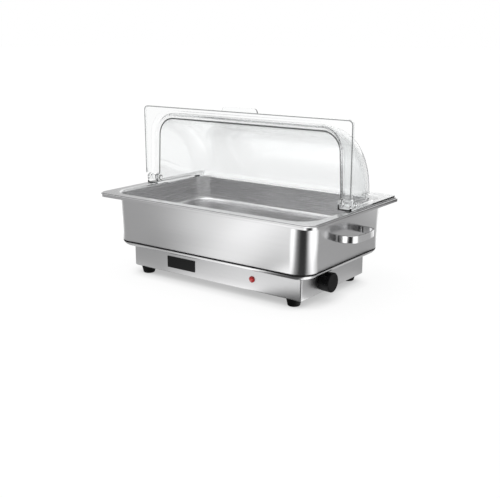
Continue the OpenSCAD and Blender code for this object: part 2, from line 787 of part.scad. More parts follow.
// A bare black plate, stuck to the front wall
module name_plate() {
    color([0.05, 0.05, 0.05]) translate([-plate_left, -base_y, panel_z]) rotate([90, 0, 0])
        linear_extrude(plate_sheet) rounded(plate_width / 2, plate_height / 2, 1.5);
}

// The appliance inlet in the rear wall: an open socket with three pins
module inlet_housing() {
    back = socket_depth + inlet_back;
    color([0.1, 0.1, 0.1]) translate([inlet_x, base_y + inlet_flange, panel_z]) rotate([90, 0, 0])
        difference() {
            union() {
                linear_extrude(inlet_flange) {
                    rounded(inlet_body_x + 2, inlet_body_z + 2, 3);
                    square([2 * inlet_ear, 2 * inlet_ear_radius], center = true);
                    for (i = [-1, 1]) translate([i * inlet_ear, 0]) circle(inlet_ear_radius);
                }
                linear_extrude(back) rounded(inlet_body_x, inlet_body_z, 2);
            }
            translate([0, 0, -1]) linear_extrude(socket_depth + 1)
                rounded(socket_width / 2, socket_height / 2, 2);
            for (i = [-1, 1]) translate([i * inlet_ear, 0, -1])
                cylinder(r = inlet_screw + hole_clear, h = inlet_flange + 2);
            for (i = [-1, 0, 1]) translate([i * pin_pitch, (i == 0 ? 1 : -1) * pin_step / 2, back / 2])
                cube([2 + 2 * push_clear, 4 + 2 * push_clear, back + 2], center = true);
        }
}

module inlet_pins() {
    back = socket_depth + inlet_back;
    color([0.8, 0.7, 0.4]) translate([inlet_x, base_y + inlet_flange, panel_z]) rotate([90, 0, 0])
        for (i = [-1, 0, 1]) translate([i * pin_pitch - 1, (i == 0 ? 1 : -1) * pin_step / 2 - 2, 2])
            cube([2, 4, back + tab_length - 2]);
}

module inlet_screws() {
    color([0.75, 0.75, 0.75]) translate([inlet_x, base_y + inlet_flange, panel_z]) rotate([90, 0, 0])
        for (i = [-1, 1]) translate([i * inlet_ear, 0, 0])
            pan_screw(inlet_screw, 2.8, 1.8, inlet_flange + base_sheet + 5);
}

module inlet_nuts() {
    color([0.75, 0.75, 0.75]) translate([inlet_x, base_y - base_sheet, panel_z]) rotate([90, 0, 0])
        for (i = [-1, 1]) translate([i * inlet_ear, 0, 0]) hex_nut(3.2, 2.4, inlet_screw + push_clear);
}

module earth_stud() {
    color([0.8, 0.7, 0.4]) translate(earth_stud_at) rotate([90, 0, 0]) {
        translate([0, 0, -base_sheet]) cylinder(r = 2, h = base_sheet + 9);
        cylinder(r = 4, h = 3, $fn = 6);
    }
}

// The wires run inside the base from terminal to terminal, round the ends of the heat shield
module live_wire() {
    a = live_tab + [0, -wire_radius, 0];
    b = thermo_tabs[2] + [-7 - wire_radius, 0, 0];
    color([0.45, 0.25, 0.12]) tube([a, a + [2, -6, -2], [shield_x - 8, shield_y + 10, base_z + 16],
        [shield_x + 8, shield_y, base_z + 12], [shield_x + 8, 10, base_z + 12], b + [-5, 6, 0], b],
        wire_radius);
}

module neutral_wire() {
    a = neutral_tab + [0, -wire_radius, 0];
    b = back_terminal + [wire_radius + seat, 0, 0];
    color([0.12, 0.3, 0.6]) tube([a, a + [4, -4, 0], [shield_x + 2, shield_y + 9, panel_z + 2],
        b + [14, 6, -8], b + [8, 0, 0], b], wire_radius);
}

module earth_wire() {
    a = earth_tab + [0, -wire_radius, 0];
    b = earth_stud_at + [0, -9 - wire_radius - seat, 0];
    color([0.35, 0.55, 0.15]) tube([a, a + [-4, -5, 2], [earth_stud_at[0] + 16, base_y - 26, panel_z + 4],
        b + [3, -6, 0], b], wire_radius);
}

module heater_wires() {
    a = thermo_tabs[0] + [-7 - wire_radius, 0, 0];
    low = spreader_z - cutout_height - 5 - wire_radius - seat;
    b = [cutout_x + 4, cutout_y, low];
    c = [cutout_x - 4, cutout_y, low];
    d = front_terminal + [wire_radius + seat, 0, 0];
    z = shield_top + wire_radius + 1;
    color([0.75, 0.75, 0.72]) {
        tube([a, a + [-6, 0, 2], [tube_end + 8, -20, z], [tube_end - 10, 24, z],
            [cutout_x + 40, cutout_y, z], b + [6, 0, z - low], b], wire_radius);
        tube([c, c + [-4, -4, z - low], [cutout_x, cutout_y / 4, z], [tube_run / 3, -tube_pitch, z],
            d + [-6, 20, z - tube_z], d + [9, 6, -4], d], wire_radius);
    }
}

module lamp_wires() {
    a = lamp_tabs[0] + [0, 5 + wire_radius + seat, 0];
    b = lamp_tabs[1] + [0, 5 + wire_radius + seat, 0];
    c = thermo_tabs[1] + [-7 - wire_radius, 0, 0];
    d = [tube_end + terminal_length / 2, 1.5 * tube_pitch, tube_z - terminal_radius - seat];
    color([0.65, 0.12, 0.1]) {
        tube([b, b + [6, 2, -3], [shield_x - 20, -shield_y - 8, base_z + 9],
            [shield_x + 9, -shield_y - 3, base_z + 9], [shield_x + 10, -shield_y + 20, base_z + 10],
            c + [-6, 2, -6], c], wire_radius);
        tube([a, a + [2, 3, -8], [shield_x - 20, -shield_y - 9, base_z + 4],
            [shield_x + 14, -shield_y - 2, base_z + 4], [shield_x + 17, 0, base_z + 4],
            [shield_x + 15, 48, base_z + 10], d + [6, -2, -14], d + [0, 0, -5], d], wire_radius);
    }
}

// The food pan: a shallower pan that hangs by its rim in the water pan
module food_pan() {
    color([0.85, 0.85, 0.86]) {
        well(food_well_x, food_well_y, food_well_corner, food_z - food_depth, food_z,
            food_draft, food_bend, food_lip, pan_sheet);
        translate([0, 0, food_z - pan_sheet]) linear_extrude(pan_sheet) difference() {
            rounded(food_x, food_y, food_corner);
            rounded(food_well_x + food_lip, food_well_y + food_lip, food_well_corner + food_lip);
        }
        translate([0, 0, food_z - food_edge]) linear_extrude(food_edge) difference() {
            rounded(food_x, food_y, food_corner);
            rounded(food_x - food_fold, food_y - food_fold, food_corner - food_fold);
        }
    }
}

// The middle of a cover's shell, across and outwards from the hinge, from radius a.
// top and end are its distances from the front cover's outside, corner is its outer radius there
function shell(top, end, corner, a) =
    let (r = cover_radius - top - cover_wall / 2, x = cover_half - end - cover_wall / 2,
         bend = corner - cover_wall / 2)
    bent([[-x + cover_lean * a, a], [-x + cover_lean * r, r], [x - cover_lean * r, r], [x - cover_lean * a, a]],
        [0, bend, bend, 0], 12);

function front_shell(a) = shell(0, 0, cover_corner, a);
function rear_shell(a) = shell(rear_offset, rear_end, cover_corner - corner_step, a);

// A cover's shell, from upright backwards and down by this angle
module quarter(path, turn) {
    translate([0, hinge_y, hinge_z]) along_x() rotate(90) rotate_extrude(angle = -turn)
        polygon(swapped(sheet(path, cover_wall)));
}

module boss(side, x0, x1) {
    translate([side > 0 ? x0 : -x1, hinge_y, hinge_z]) along_x() cylinder(r = boss_radius, h = x1 - x0);
}

module pin_hole(r, x0, x1) {
    for (side = [-1, 1]) translate([side > 0 ? x0 : -x1, hinge_y, hinge_z]) along_x()
        cylinder(r = r, h = x1 - x0);
}

// The rear cover: a quarter shell with a skirt and a flange that lies on the food pan's rim
module rear_cover() {
    x = cover_half - rear_end;
    rib_x = food_well_x - pan_sheet - rib_clear - rib_width;
    rib_y = food_well_y - pan_sheet - rib_clear - rib_width;
    rib_z = food_z - rib_drop;
    color([0.85, 0.9, 0.93, 0.35]) difference() {
        union() {
            quarter(rear_shell(shell_start), 90);
            translate([0, hinge_y, rear_z]) linear_extrude(hinge_z - rear_z)
                polygon(sheet(rear_shell(shell_start), cover_wall));
            translate([0, hinge_y, rear_z]) linear_extrude(cover_wall) difference() {
                translate([0, rear_reach / 2 - boss_radius / 2]) union() {
                    square([2 * flange_half, rear_reach + boss_radius - 2 * flange_corner], center = true);
                    translate([-flange_half, -rear_reach / 2 - boss_radius / 2])
                        square([2 * flange_half, flange_corner]);
                    translate([0, rear_reach / 2 + boss_radius / 2 - flange_corner / 2])
                        square([2 * (flange_half - flange_corner), flange_corner], center = true);
                    for (i = [-1, 1]) translate([i * (flange_half - flange_corner),
                        rear_reach / 2 + boss_radius / 2 - flange_corner]) circle(flange_corner);
                }
                polygon(rear_shell(-boss_radius - 1));
            }
            for (side = [-1, 1]) {
                for (span = [[x - cover_wall - 0.7, x], [ear_inner, flange_half]]) {
                    boss(side, span[0], span[1]);
                    translate([side > 0 ? span[0] : -span[1], hinge_y - boss_radius, rear_z])
                        cube([span[1] - span[0], 2 * boss_radius, hinge_z - rear_z]);
                }
                translate([side > 0 ? rib_x : -rib_x - rib_width, rib_start, rib_z])
                    cube([rib_width, rib_side, rear_top - 1 - rib_z]);
            }
            translate([-rib_long / 2, rib_y, rib_z]) cube([rib_long, rib_width, rear_top - 1 - rib_z]);
        }
        pin_hole(pin_radius + push_clear, pin_inner - 1, pin_shoulder);
        pin_hole(pin_head + push_clear, ear_inner - 1, pin_outer + 1);
    }
}

// A hinge pin goes in from the end of the dish: its outer part sits in the rear cover's ear,
// its thinner part carries the front cover and reaches into the rear cover's end wall
module hinge_pin(side) {
    color([0.85, 0.9, 0.93, 0.5]) {
        translate([side > 0 ? pin_shoulder : -pin_outer, hinge_y, hinge_z]) along_x()
            cylinder(r = pin_head, h = pin_outer - pin_shoulder);
        translate([side > 0 ? pin_inner : -pin_shoulder, hinge_y, hinge_z]) along_x()
            cylinder(r = pin_radius, h = pin_shoulder - pin_inner);
    }
}

module hinge_pin_right() { hinge_pin(1); }
module hinge_pin_left() { hinge_pin(-1); }

// Push-on rings that keep the pins in the rear cover's end walls
module hinge_retainers() {
    outer = cover_half - rear_end - cover_wall - 0.7 - seat;
    color([0.85, 0.9, 0.93, 0.5]) for (side = [-1, 1])
        translate([side > 0 ? outer - 1.5 : -outer, hinge_y, hinge_z]) along_x() difference() {
            cylinder(r = pin_radius + 2.5, h = 1.5);
            translate([0, 0, -1]) cylinder(r = pin_radius + push_clear, h = 4);
        }
}

// A section, drawn outwards and forwards from the middle of the front cover's shell, swept round
// its mouth from one side of the hinge over the top to the other
module round_mouth() {
    tilt = atan(cover_lean);
    r = cover_radius - cover_wall / 2;
    turn = cover_corner - cover_wall / 2;
    x = round(100 * (cover_half - cover_wall / 2 - cover_lean * r - turn / tan(45 + tilt / 2))) / 100;
    down = (r - turn + turn * sin(tilt) - arm_start) / cos(tilt);
    translate([-x - 1, r]) rotate(90) rotate([90, 0, 0]) linear_extrude(2 * x + 2) mouth_section(0.1);
    for (side = [0, 1]) mirror([side, 0, 0]) translate([x, r - turn]) rotate(tilt) {
        rotate_extrude(angle = 90 - tilt) translate([turn, 0]) mouth_section(0);
        translate([turn, 1]) rotate([90, 0, 0]) linear_extrude(down + 1) mouth_section(0.1);
    }
}

// The flare's section, outwards and forwards; more makes its straight lengths a hair thicker, and they
// run a little way into the corners
module mouth_section(more) {
    out = flange_flare + 2 + 3 * more;
    polygon(sheet(bent([[0, -0.6 - more], [0, mouth_drop], [out, mouth_drop]], [0, flange_flare, 0]),
        mouth_wall + more));
}

// The front cover: a quarter shell that turns on the pins, with a flange round its flared mouth,
// a turned edge on the flange and a grip tab in the middle
module front_cover() {
    color([0.88, 0.92, 0.95, 0.35]) difference() {
        union() {
            quarter(front_shell(shell_start), 90 + roll_overlap);
            translate([0, hinge_y, hinge_z]) rotate([90, 0, 0]) {
                linear_extrude(arm_step) polygon(sheet(front_shell(shell_start), cover_wall));
                round_mouth();
                translate([0, 0, lip_drop - cover_wall]) linear_extrude(cover_wall) difference() {
                    union() {
                        front_flange(0);
                        translate([0, lip_reach + grip_reach - 20])
                            rounded(grip_width / 2, 20, grip_reach - 1);
                    }
                    polygon(shell(-mouth_reach, -mouth_reach, cover_corner + mouth_reach, arm_start - 1));
                }
                translate([0, 0, lip_drop - flange_turn]) linear_extrude(flange_turn) difference() {
                    front_flange(0);
                    front_flange(flange_edge);
                }
            }
            for (side = [-1, 1]) boss(side, cover_half - cover_wall - 0.7, cover_half);
        }
        pin_hole(pin_radius + turn_clear, pin_inner - 1, pin_shoulder);
    }
}

module front_flange(inset) {
    x = flange_half - inset;
    y = lip_reach - inset;
    r = flange_corner - inset;
    translate([-x, arm_start]) square([2 * x, y - r - arm_start]);
    translate([r - x, arm_start]) square([2 * (x - r), y - arm_start]);
    for (i = [-1, 1]) translate([i * (x - r), y - r]) circle(r);
}

base_housing();
bottom_cover();
bottom_cover_screws();
foot_front_left();
foot_front_right();
foot_rear_left();
foot_rear_right();
foot_screws();
foot_nuts();
water_pan();
pan_studs();
pan_nuts();
handle_left();
handle_right();
heater_plate();
heating_element();
element_terminals();
element_clamps();
clamp_spacers();
clamp_screws();
heat_shield();
shield_screws();
thermostat();
thermostat_nut();
sensor_bulb();
bulb_clip();
capillary_tube();
thermal_cutout();
lamp_lens();
lamp_body();
lamp_clip();
name_plate();
inlet_housing();
inlet_pins();
inlet_screws();
inlet_nuts();
earth_stud();
live_wire();
neutral_wire();
earth_wire();
heater_wires();
lamp_wires();
thermostat_shaft();
knob();
food_pan();
rear_cover();
hinge_pin_left();
hinge_pin_right();
hinge_retainers();
front_cover();
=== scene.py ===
"""An electric chafing dish with a clear roll-top cover, dressed in the order it is put together."""

import math

import bmesh
import bpy
from mathutils import Matrix, Vector


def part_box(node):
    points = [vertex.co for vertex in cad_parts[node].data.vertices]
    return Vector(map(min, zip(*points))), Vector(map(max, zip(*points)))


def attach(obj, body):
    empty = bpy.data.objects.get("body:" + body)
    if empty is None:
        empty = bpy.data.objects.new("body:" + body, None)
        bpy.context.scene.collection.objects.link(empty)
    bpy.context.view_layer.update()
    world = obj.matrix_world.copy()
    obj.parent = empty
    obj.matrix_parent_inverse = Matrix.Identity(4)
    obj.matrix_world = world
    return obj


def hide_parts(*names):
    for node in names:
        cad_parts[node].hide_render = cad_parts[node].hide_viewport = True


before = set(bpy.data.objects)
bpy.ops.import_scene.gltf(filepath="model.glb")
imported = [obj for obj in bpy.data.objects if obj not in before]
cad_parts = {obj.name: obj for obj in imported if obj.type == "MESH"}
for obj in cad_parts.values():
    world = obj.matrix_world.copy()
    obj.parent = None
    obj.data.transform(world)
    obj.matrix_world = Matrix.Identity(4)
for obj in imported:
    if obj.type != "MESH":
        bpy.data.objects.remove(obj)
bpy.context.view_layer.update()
mm = 0.001


# The base housing is one folded box of 1 mm brushed stainless sheet, with flanges turned in at the
# top and the bottom and bends of 4 mm at its upright corners. The knob's bush, the lamp and the
# power inlet pass through holes in its walls.
def add(tree, kind, inputs=None, **settings):
    """Adds a node, sets its properties, and links or sets its inputs."""
    node = tree.nodes.new(kind)
    for key, value in settings.items():
        setattr(node, key, value)
    for key, value in (inputs or {}).items():
        if isinstance(value, bpy.types.NodeSocket):
            tree.links.new(value, node.inputs[key])
        else:
            node.inputs[key].default_value = value
    return node


def sums(tree, operation, a, b=0.0):
    """One sum in a node tree."""
    return add(tree, "ShaderNodeMath", {0: a, 1: b}, operation=operation).outputs[0]


def new_finish(name):
    """An empty material and its surface shader."""
    finish = bpy.data.materials.new(name)
    finish.use_nodes = True
    return finish, finish.node_tree, finish.node_tree.nodes["Principled BSDF"]


def grain(tree, fine, broad):
    """Brush marks that run level along the walls, and lengthways on level faces: fine, then broad ones."""
    place = add(tree, "ShaderNodeTexCoord").outputs["Object"]
    facing = add(tree, "ShaderNodeSeparateXYZ", {0: add(tree, "ShaderNodeNewGeometry").outputs["Normal"]})
    level = sums(tree, "GREATER_THAN", sums(tree, "ABSOLUTE", facing.outputs["Z"]), 0.7)
    marks = []
    for across, along in ((fine, 7.0), (broad, 2.5)):
        sides = []
        for scale in ((along, along, across), (along, across, along)):
            where = add(tree, "ShaderNodeMapping", {"Vector": place, "Scale": scale}).outputs[0]
            marked = add(tree, "ShaderNodeTexNoise",
                         {"Vector": where, "Scale": 1.0, "Detail": 3.0, "Roughness": 0.6})
            sides.append(marked.outputs["Fac"])
        mixed = add(tree, "ShaderNodeMix", {"Factor": level, "A": sides[0], "B": sides[1]})
        marks.append(mixed.outputs["Result"])
    return marks


def spread(tree, value, low, high):
    """Maps a noise's middle range to a range of values."""
    return add(tree, "ShaderNodeMapRange", {"Value": value, "From Min": 0.3, "From Max": 0.7,
                                            "To Min": low, "To Max": high}).outputs[0]


def tinted(tree, shade, change, value):
    """A shade that a noise makes a little darker or lighter."""
    dark = [max(0.0, v * (1.0 - change)) for v in shade] + [1.0]
    light = [min(1.0, v * (1.0 + change)) for v in shade] + [1.0]
    factor = spread(tree, value, 0.0, 1.0)
    return add(tree, "ShaderNodeMix", {0: factor, 6: dark, 7: light}, data_type="RGBA").outputs[2]


def brushed_steel(name, shade, rough, depth=0.03):
    """Stainless sheet with fine level brush marks."""
    finish, tree, steel = new_finish(name)
    fine, broad = grain(tree, 2600.0, 420.0)
    tree.links.new(tinted(tree, shade, 0.012, broad), steel.inputs["Base Color"])
    steel.inputs["Metallic"].default_value = 1.0
    both = sums(tree, "ADD", sums(tree, "MULTIPLY", fine, 0.8), sums(tree, "MULTIPLY", broad, 0.2))
    tree.links.new(spread(tree, both, rough - 0.03, rough + 0.03), steel.inputs["Roughness"])
    relief = add(tree, "ShaderNodeBump", {"Height": both, "Strength": depth, "Distance": 0.0002})
    tree.links.new(relief.outputs[0], steel.inputs["Normal"])
    return finish


def settle(piece):
    """Makes what the modifiers give the piece's own plain mesh."""
    bpy.context.view_layer.update()
    graph = bpy.context.evaluated_depsgraph_get()
    mesh = bpy.data.meshes.new_from_object(piece.evaluated_get(graph), preserve_all_data_layers=True,
                                           depsgraph=graph)
    mesh.name = piece.name
    piece.modifiers.clear()
    piece.data = mesh
    return piece


def new_piece(name, mesh):
    """A scene object for a mesh."""
    piece = bpy.data.objects.new(name, mesh)
    bpy.context.scene.collection.objects.link(piece)
    return piece


def grow(piece, tree, values):
    """Runs a geometry tree on a piece with these named inputs."""
    change = piece.modifiers.new(tree.name, "NODES")
    change.node_group = tree
    for item in tree.interface.items_tree:
        if item.item_type == "SOCKET" and item.in_out == "INPUT" and item.name in values:
            change[item.identifier] = values[item.name]
    return settle(piece)


def dress(piece, crease=38.0):
    """Closes the mesh, turns its faces outwards and smooths it without dulling its flat faces."""
    work = bmesh.new()
    work.from_mesh(piece.data)
    bmesh.ops.remove_doubles(work, verts=work.verts, dist=2e-6)
    bmesh.ops.dissolve_degenerate(work, dist=1e-6, edges=work.edges)
    bmesh.ops.recalc_face_normals(work, faces=work.faces)
    work.to_mesh(piece.data)
    work.free()
    piece.data.polygons.foreach_set("use_smooth", [True] * len(piece.data.polygons))
    piece.data.set_sharp_from_angle(angle=math.radians(crease))
    normals = piece.modifiers.new("flat faces", "WEIGHTED_NORMAL")
    normals.keep_sharp = True
    normals.weight = 100
    return settle(piece)


def new_tree(name, sockets):
    """A geometry tree with named inputs and one output."""
    tree = bpy.data.node_groups.new(name, "GeometryNodeTree")
    tree.is_modifier = True
    for label, kind in sockets:
        tree.interface.new_socket(label, in_out="INPUT", socket_type=kind)
    tree.interface.new_socket("Mesh", in_out="OUTPUT", socket_type="NodeSocketGeometry")
    return tree, add(tree, "NodeGroupInput").outputs


def end_tree(tree, shape, finish):
    """Every tree ends in real geometry with a finish."""
    real = add(tree, "GeometryNodeRealizeInstances", {"Geometry": shape}).outputs[0]
    done = add(tree, "GeometryNodeSetMaterial", {"Geometry": real, "Material": finish}).outputs[0]
    add(tree, "NodeGroupOutput", {"Mesh": done})
    return tree


def rounded_shell_tree():
    """Sheet formed round a rectangle with round corners. Each point of the incoming section carries the
    half length, half width, corner radius and height of one ring."""
    tree, given = new_tree("rounded_shell", (("Section", "NodeSocketGeometry"),
                                             ("Points per corner", "NodeSocketInt"),
                                             ("Finish", "NodeSocketMaterial")))
    rows = add(tree, "GeometryNodeAttributeDomainSize", {0: given["Section"]}).outputs["Point Count"]
    per = given["Points per corner"]
    around = sums(tree, "ADD", sums(tree, "MULTIPLY", per, 4.0), 1.0)
    sheet = add(tree, "GeometryNodeMeshGrid", {"Vertices X": around, "Vertices Y": rows})
    index = add(tree, "GeometryNodeInputIndex").outputs[0]
    row = sums(tree, "FLOORED_MODULO", index, rows)
    step = sums(tree, "FLOOR", sums(tree, "DIVIDE", sums(tree, "ADD", index, 0.5), rows))
    passed = sums(tree, "FLOOR", sums(tree, "DIVIDE", sums(tree, "ADD", step, 0.5), per))
    corner = sums(tree, "FLOORED_MODULO", passed, 4.0)
    part = sums(tree, "DIVIDE", sums(tree, "FLOORED_MODULO", step, per), sums(tree, "SUBTRACT", per, 1.0))
    turn = sums(tree, "MULTIPLY", sums(tree, "ADD", corner, part), math.pi / 2)
    middle = sums(tree, "MULTIPLY", sums(tree, "ADD", corner, 0.5), math.pi / 2)
    size = {}
    for label in ("half_x", "half_y", "corner", "height"):
        kept = add(tree, "GeometryNodeInputNamedAttribute", {"Name": label}, data_type="FLOAT").outputs[0]
        size[label] = add(tree, "GeometryNodeSampleIndex",
                          {"Geometry": given["Section"], "Value": kept, "Index": row},
                          data_type="FLOAT", domain="POINT").outputs[0]
    spot = []
    for label, rule in (("half_x", "COSINE"), ("half_y", "SINE")):
        side = sums(tree, "SIGN", sums(tree, rule, middle))
        centre = sums(tree, "MULTIPLY", side, sums(tree, "SUBTRACT", size[label], size["corner"]))
        reach = sums(tree, "MULTIPLY", size["corner"], sums(tree, rule, turn))
        spot.append(sums(tree, "ADD", centre, reach))
    where = add(tree, "ShaderNodeCombineXYZ", {"X": spot[0], "Y": spot[1], "Z": size["height"]}).outputs[0]
    moved = add(tree, "GeometryNodeSetPosition",
                {"Geometry": sheet.outputs["Mesh"], "Position": where}).outputs[0]
    closed = add(tree, "GeometryNodeMergeByDistance", {"Geometry": moved, "Distance": 1e-6}).outputs[0]
    return end_tree(tree, closed, given["Finish"])


rounded_shell = rounded_shell_tree()


def shell_piece(name, rows, finish, per_corner=13):
    """A formed sheet piece from the rings of its section, in millimetres."""
    mesh = bpy.data.meshes.new(name)
    mesh.from_pydata([(i * mm, 0.0, 0.0) for i in range(len(rows))], [], [])
    for k, label in enumerate(("half_x", "half_y", "corner", "height")):
        layer = mesh.attributes.new(label, "FLOAT", "POINT")
        layer.data.foreach_set("value", [row[k] * mm for row in rows])
    piece = new_piece(name, mesh)
    grow(piece, rounded_shell, {"Points per corner": per_corner, "Finish": finish})
    return piece


def bent(points, radii, steps=6):
    """A path through the points with a round bend of its radius at each."""
    path = []
    for i, radius in enumerate(radii):
        here = Vector(points[i])
        if radius == 0:
            path.append(here)
            continue
        back = (Vector(points[i - 1]) - here).normalized()
        ahead = (Vector(points[i + 1]) - here).normalized()
        half = back.angle(ahead) / 2
        middle = here + (back + ahead).normalized() * radius / math.sin(half)
        start = here + back * radius / math.tan(half) - middle
        end = here + ahead * radius / math.tan(half) - middle
        for k in range(steps + 1):
            path.append(middle + start.slerp(end, k / steps).normalized() * radius)
    return path


def beside(path, gap):
    """The path moved to its left."""
    moved = []
    for i, here in enumerate(path):
        before = (here - path[i - 1]).normalized() if i else (path[1] - here).normalized()
        after = (path[i + 1] - here).normalized() if i < len(path) - 1 else before
        mean = (before + after).normalized()
        moved.append(here + Vector((-mean.y, mean.x)) * gap / mean.dot(before))
    return moved


def bored(piece, cutters):
    """Cuts holes through a piece with these meshes."""
    for mesh in cutters:
        tool = new_piece("tool", mesh)
        cut = piece.modifiers.new("hole", "BOOLEAN")
        cut.operation = "DIFFERENCE"
        cut.solver = "EXACT"
        cut.object = tool
        settle(piece)
        bpy.data.objects.remove(tool)
    return piece


def drill(radius, depth, at, along):
    """A round cutter through a point, in millimetres."""
    work = bmesh.new()
    turn = Vector((0, 0, 1)).rotation_difference(Vector(along)).to_matrix().to_4x4()
    bmesh.ops.create_cone(work, cap_ends=True, segments=40, radius1=radius * mm, radius2=radius * mm,
                          depth=depth * mm, matrix=Matrix.Translation(Vector(at) * mm) @ turn)
    mesh = bpy.data.meshes.new("drill")
    work.to_mesh(mesh)
    work.free()
    return mesh


def block(low, high):
    """A square cutter or bar between two corners, in millimetres."""
    work = bmesh.new()
    low, high = Vector(low) * mm, Vector(high) * mm
    bmesh.ops.create_cube(work, size=1.0, matrix=Matrix.Translation((low + high) / 2)
                          @ Matrix.Diagonal((*(high - low), 1.0)))
    mesh = bpy.data.meshes.new("block")
    work.to_mesh(mesh)
    work.free()
    return mesh


def fix(piece, body, slot, *nodes):
    """Hangs a piece on its body, in place of its CAD solids; its slot is not used."""
    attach(piece, body)
    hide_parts(*nodes)
    return piece


base_steel = brushed_steel("base_steel", (0.64, 0.64, 0.645), 0.34)
base_x, base_y, base_low, base_top = 224.0, 123.0, 17.0, 65.0
base_sheet, base_corner, flange_out = 1.0, 4.0, -20.0
panel_z = 41.0
knob_y = -45.0
lamp_x = 104.5
inlet_x = 141.5


def base_rows():
    """The housing's sheet, from its top flange round the wall to its bottom flange and back inside."""
    window = (base_x - 32.0, base_y - 27.0, 0.0)
    opening = (base_x - 26.0, base_y - 26.0, 0.0)
    outside = bent([(flange_out, base_top), (0, base_top), (0, base_low), (flange_out, base_low)],
                   [0, 1.8, 1.5, 0])
    low, top = base_low + base_sheet, base_top - base_sheet
    inside = bent([(flange_out, low), (-base_sheet, low), (-base_sheet, top), (flange_out, top)],
                  [0, 0.6, 0.8, 0])
    walls = [[(base_x + out, base_y + out, max(0.0, base_corner + out), height) for out, height in path]
             for path in (outside, inside)]
    rows = [(*window, base_top)] + walls[0] + [(*opening, base_low), (*opening, low)] + walls[1]
    return rows + [(*window, top), rows[0]]


hole_radius, hole_depth = 5.2, 6
cutout_x, cutout_z, cutout_depth = 13.9, 9.9, 4
housing = dress(shell_piece("housing", base_rows(), base_steel))
bored(housing, [drill(hole_radius, hole_depth, (base_x, knob_y, panel_z), (1, 0, 0)),
                drill(hole_radius, hole_depth, (lamp_x, -base_y, panel_z), (0, 1, 0)),
                block((inlet_x - cutout_x, base_y - cutout_depth, panel_z - cutout_z),
                      (inlet_x + cutout_x, base_y + cutout_depth, panel_z + cutout_z))])
fix(housing, "base", "housing_steel", "base_housing")


# The bottom cover is a flat plate with rows of vent slots, punched from the same sheet. Pan-head
# screws with crossed slots hold it to the housing's bottom flange.
def noise(tree, scale, detail):
    """Noise in the object's own space."""
    place = add(tree, "ShaderNodeTexCoord").outputs["Object"]
    marks = add(tree, "ShaderNodeTexNoise", {"Vector": place, "Scale": scale, "Detail": detail})
    return marks.outputs["Fac"]


def plain_metal(name, shade, rough, blotch=0.06):
    """Bare or plated metal with faint stains and rolling marks."""
    finish, tree, metal = new_finish(name)
    stain = noise(tree, 90.0, 4.0)
    tooth = noise(tree, 1400.0, 2.0)
    tree.links.new(tinted(tree, shade, blotch, stain), metal.inputs["Base Color"])
    metal.inputs["Metallic"].default_value = 1.0
    tree.links.new(spread(tree, stain, rough - 0.06, rough + 0.08), metal.inputs["Roughness"])
    relief = add(tree, "ShaderNodeBump", {"Height": tooth, "Strength": 0.08, "Distance": 0.0001})
    tree.links.new(relief.outputs[0], metal.inputs["Normal"])
    return finish


def stay(finish, *names):
    """Gives CAD pieces that keep their own shape a finish."""
    for name in names:
        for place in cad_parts[name].material_slots:
            place.material = finish


def solids_of(node):
    """The lowest and highest corner of each separate solid in a CAD piece, in millimetres."""
    work = bmesh.new()
    work.from_mesh(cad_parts[node].data)
    bmesh.ops.remove_doubles(work, verts=work.verts, dist=1e-6)
    seen = set()
    found = []
    for first in work.verts:
        if first in seen:
            continue
        seen.add(first)
        chain = [first]
        for point in chain:
            for edge in point.link_edges:
                other = edge.other_vert(point)
                if other not in seen:
                    seen.add(other)
                    chain.append(other)
        low = Vector([min(v.co[k] for v in chain) for k in range(3)])
        high = Vector([max(v.co[k] for v in chain) for k in range(3)])
        found.append((low / mm, high / mm))
    work.free()
    return found


def copies_tree():
    """Copies of a shape on points, all turned to one heading."""
    tree, given = new_tree("copies", (("Places", "NodeSocketGeometry"), ("Shape", "NodeSocketObject"),
                                      ("Heading", "NodeSocketVector"), ("Finish", "NodeSocketMaterial")))
    shape = add(tree, "GeometryNodeObjectInfo", {"Object": given["Shape"]}).outputs["Geometry"]
    turn = add(tree, "FunctionNodeAlignRotationToVector", {"Vector": given["Heading"]}, axis="Z").outputs[0]
    placed = add(tree, "GeometryNodeInstanceOnPoints",
                 {"Points": given["Places"], "Instance": shape, "Rotation": turn}).outputs[0]
    return end_tree(tree, placed, given["Finish"])


copies = copies_tree()


def set_out(name, shape, places, heading, finish):
    """One plain mesh of a shape's copies at these places, in millimetres."""
    mesh = bpy.data.meshes.new(name)
    mesh.from_pydata([Vector(place) * mm for place in places], [], [])
    piece = grow(new_piece(name, mesh), copies, {"Shape": shape, "Heading": heading, "Finish": finish})
    bpy.data.objects.remove(shape)
    return dress(piece)


def turned(name, profile, finish, per_corner=9):
    """A piece turned on a lathe, from the radius and height of each ring, in millimetres."""
    return shell_piece(name, [(r, r, r, z) for r, z in profile], finish, per_corner)


def screw_set(name, node, heading, finish, head, head_height, shank):
    """Pan-head screws with a crossed slot, one where each of the CAD piece's screws is."""
    axis = [abs(v) for v in heading].index(1)
    forward = heading[axis] > 0
    spots = solids_of(node)
    length = spots[0][1][axis] - spots[0][0][axis] - head_height
    places = []
    for low, high in spots:
        place = (low + high) / 2
        place[axis] = high[axis] if forward else low[axis]
        places.append(place)
    profile = bent([(0, 0), (0.55 * head, 0), (head, -0.45 * head_height), (head, -head_height)],
                   [0, 0.5 * head, 0.3, 0], 5)
    tip, point = -head_height - length, 0.4
    profile += [(shank, -head_height), (shank, tip + point), (shank - point, tip), (0, tip)]
    shape = dress(turned("screw", profile, finish, 7))
    wide, thin, deep = 0.55 * head, 0.13 * head, 0.55 * head_height
    bored(shape, [block((-wide, -thin, -deep), (wide, thin, 1)),
                  block((-thin, -wide, -deep), (thin, wide, 1))])
    return set_out(name, shape, places, heading, finish)


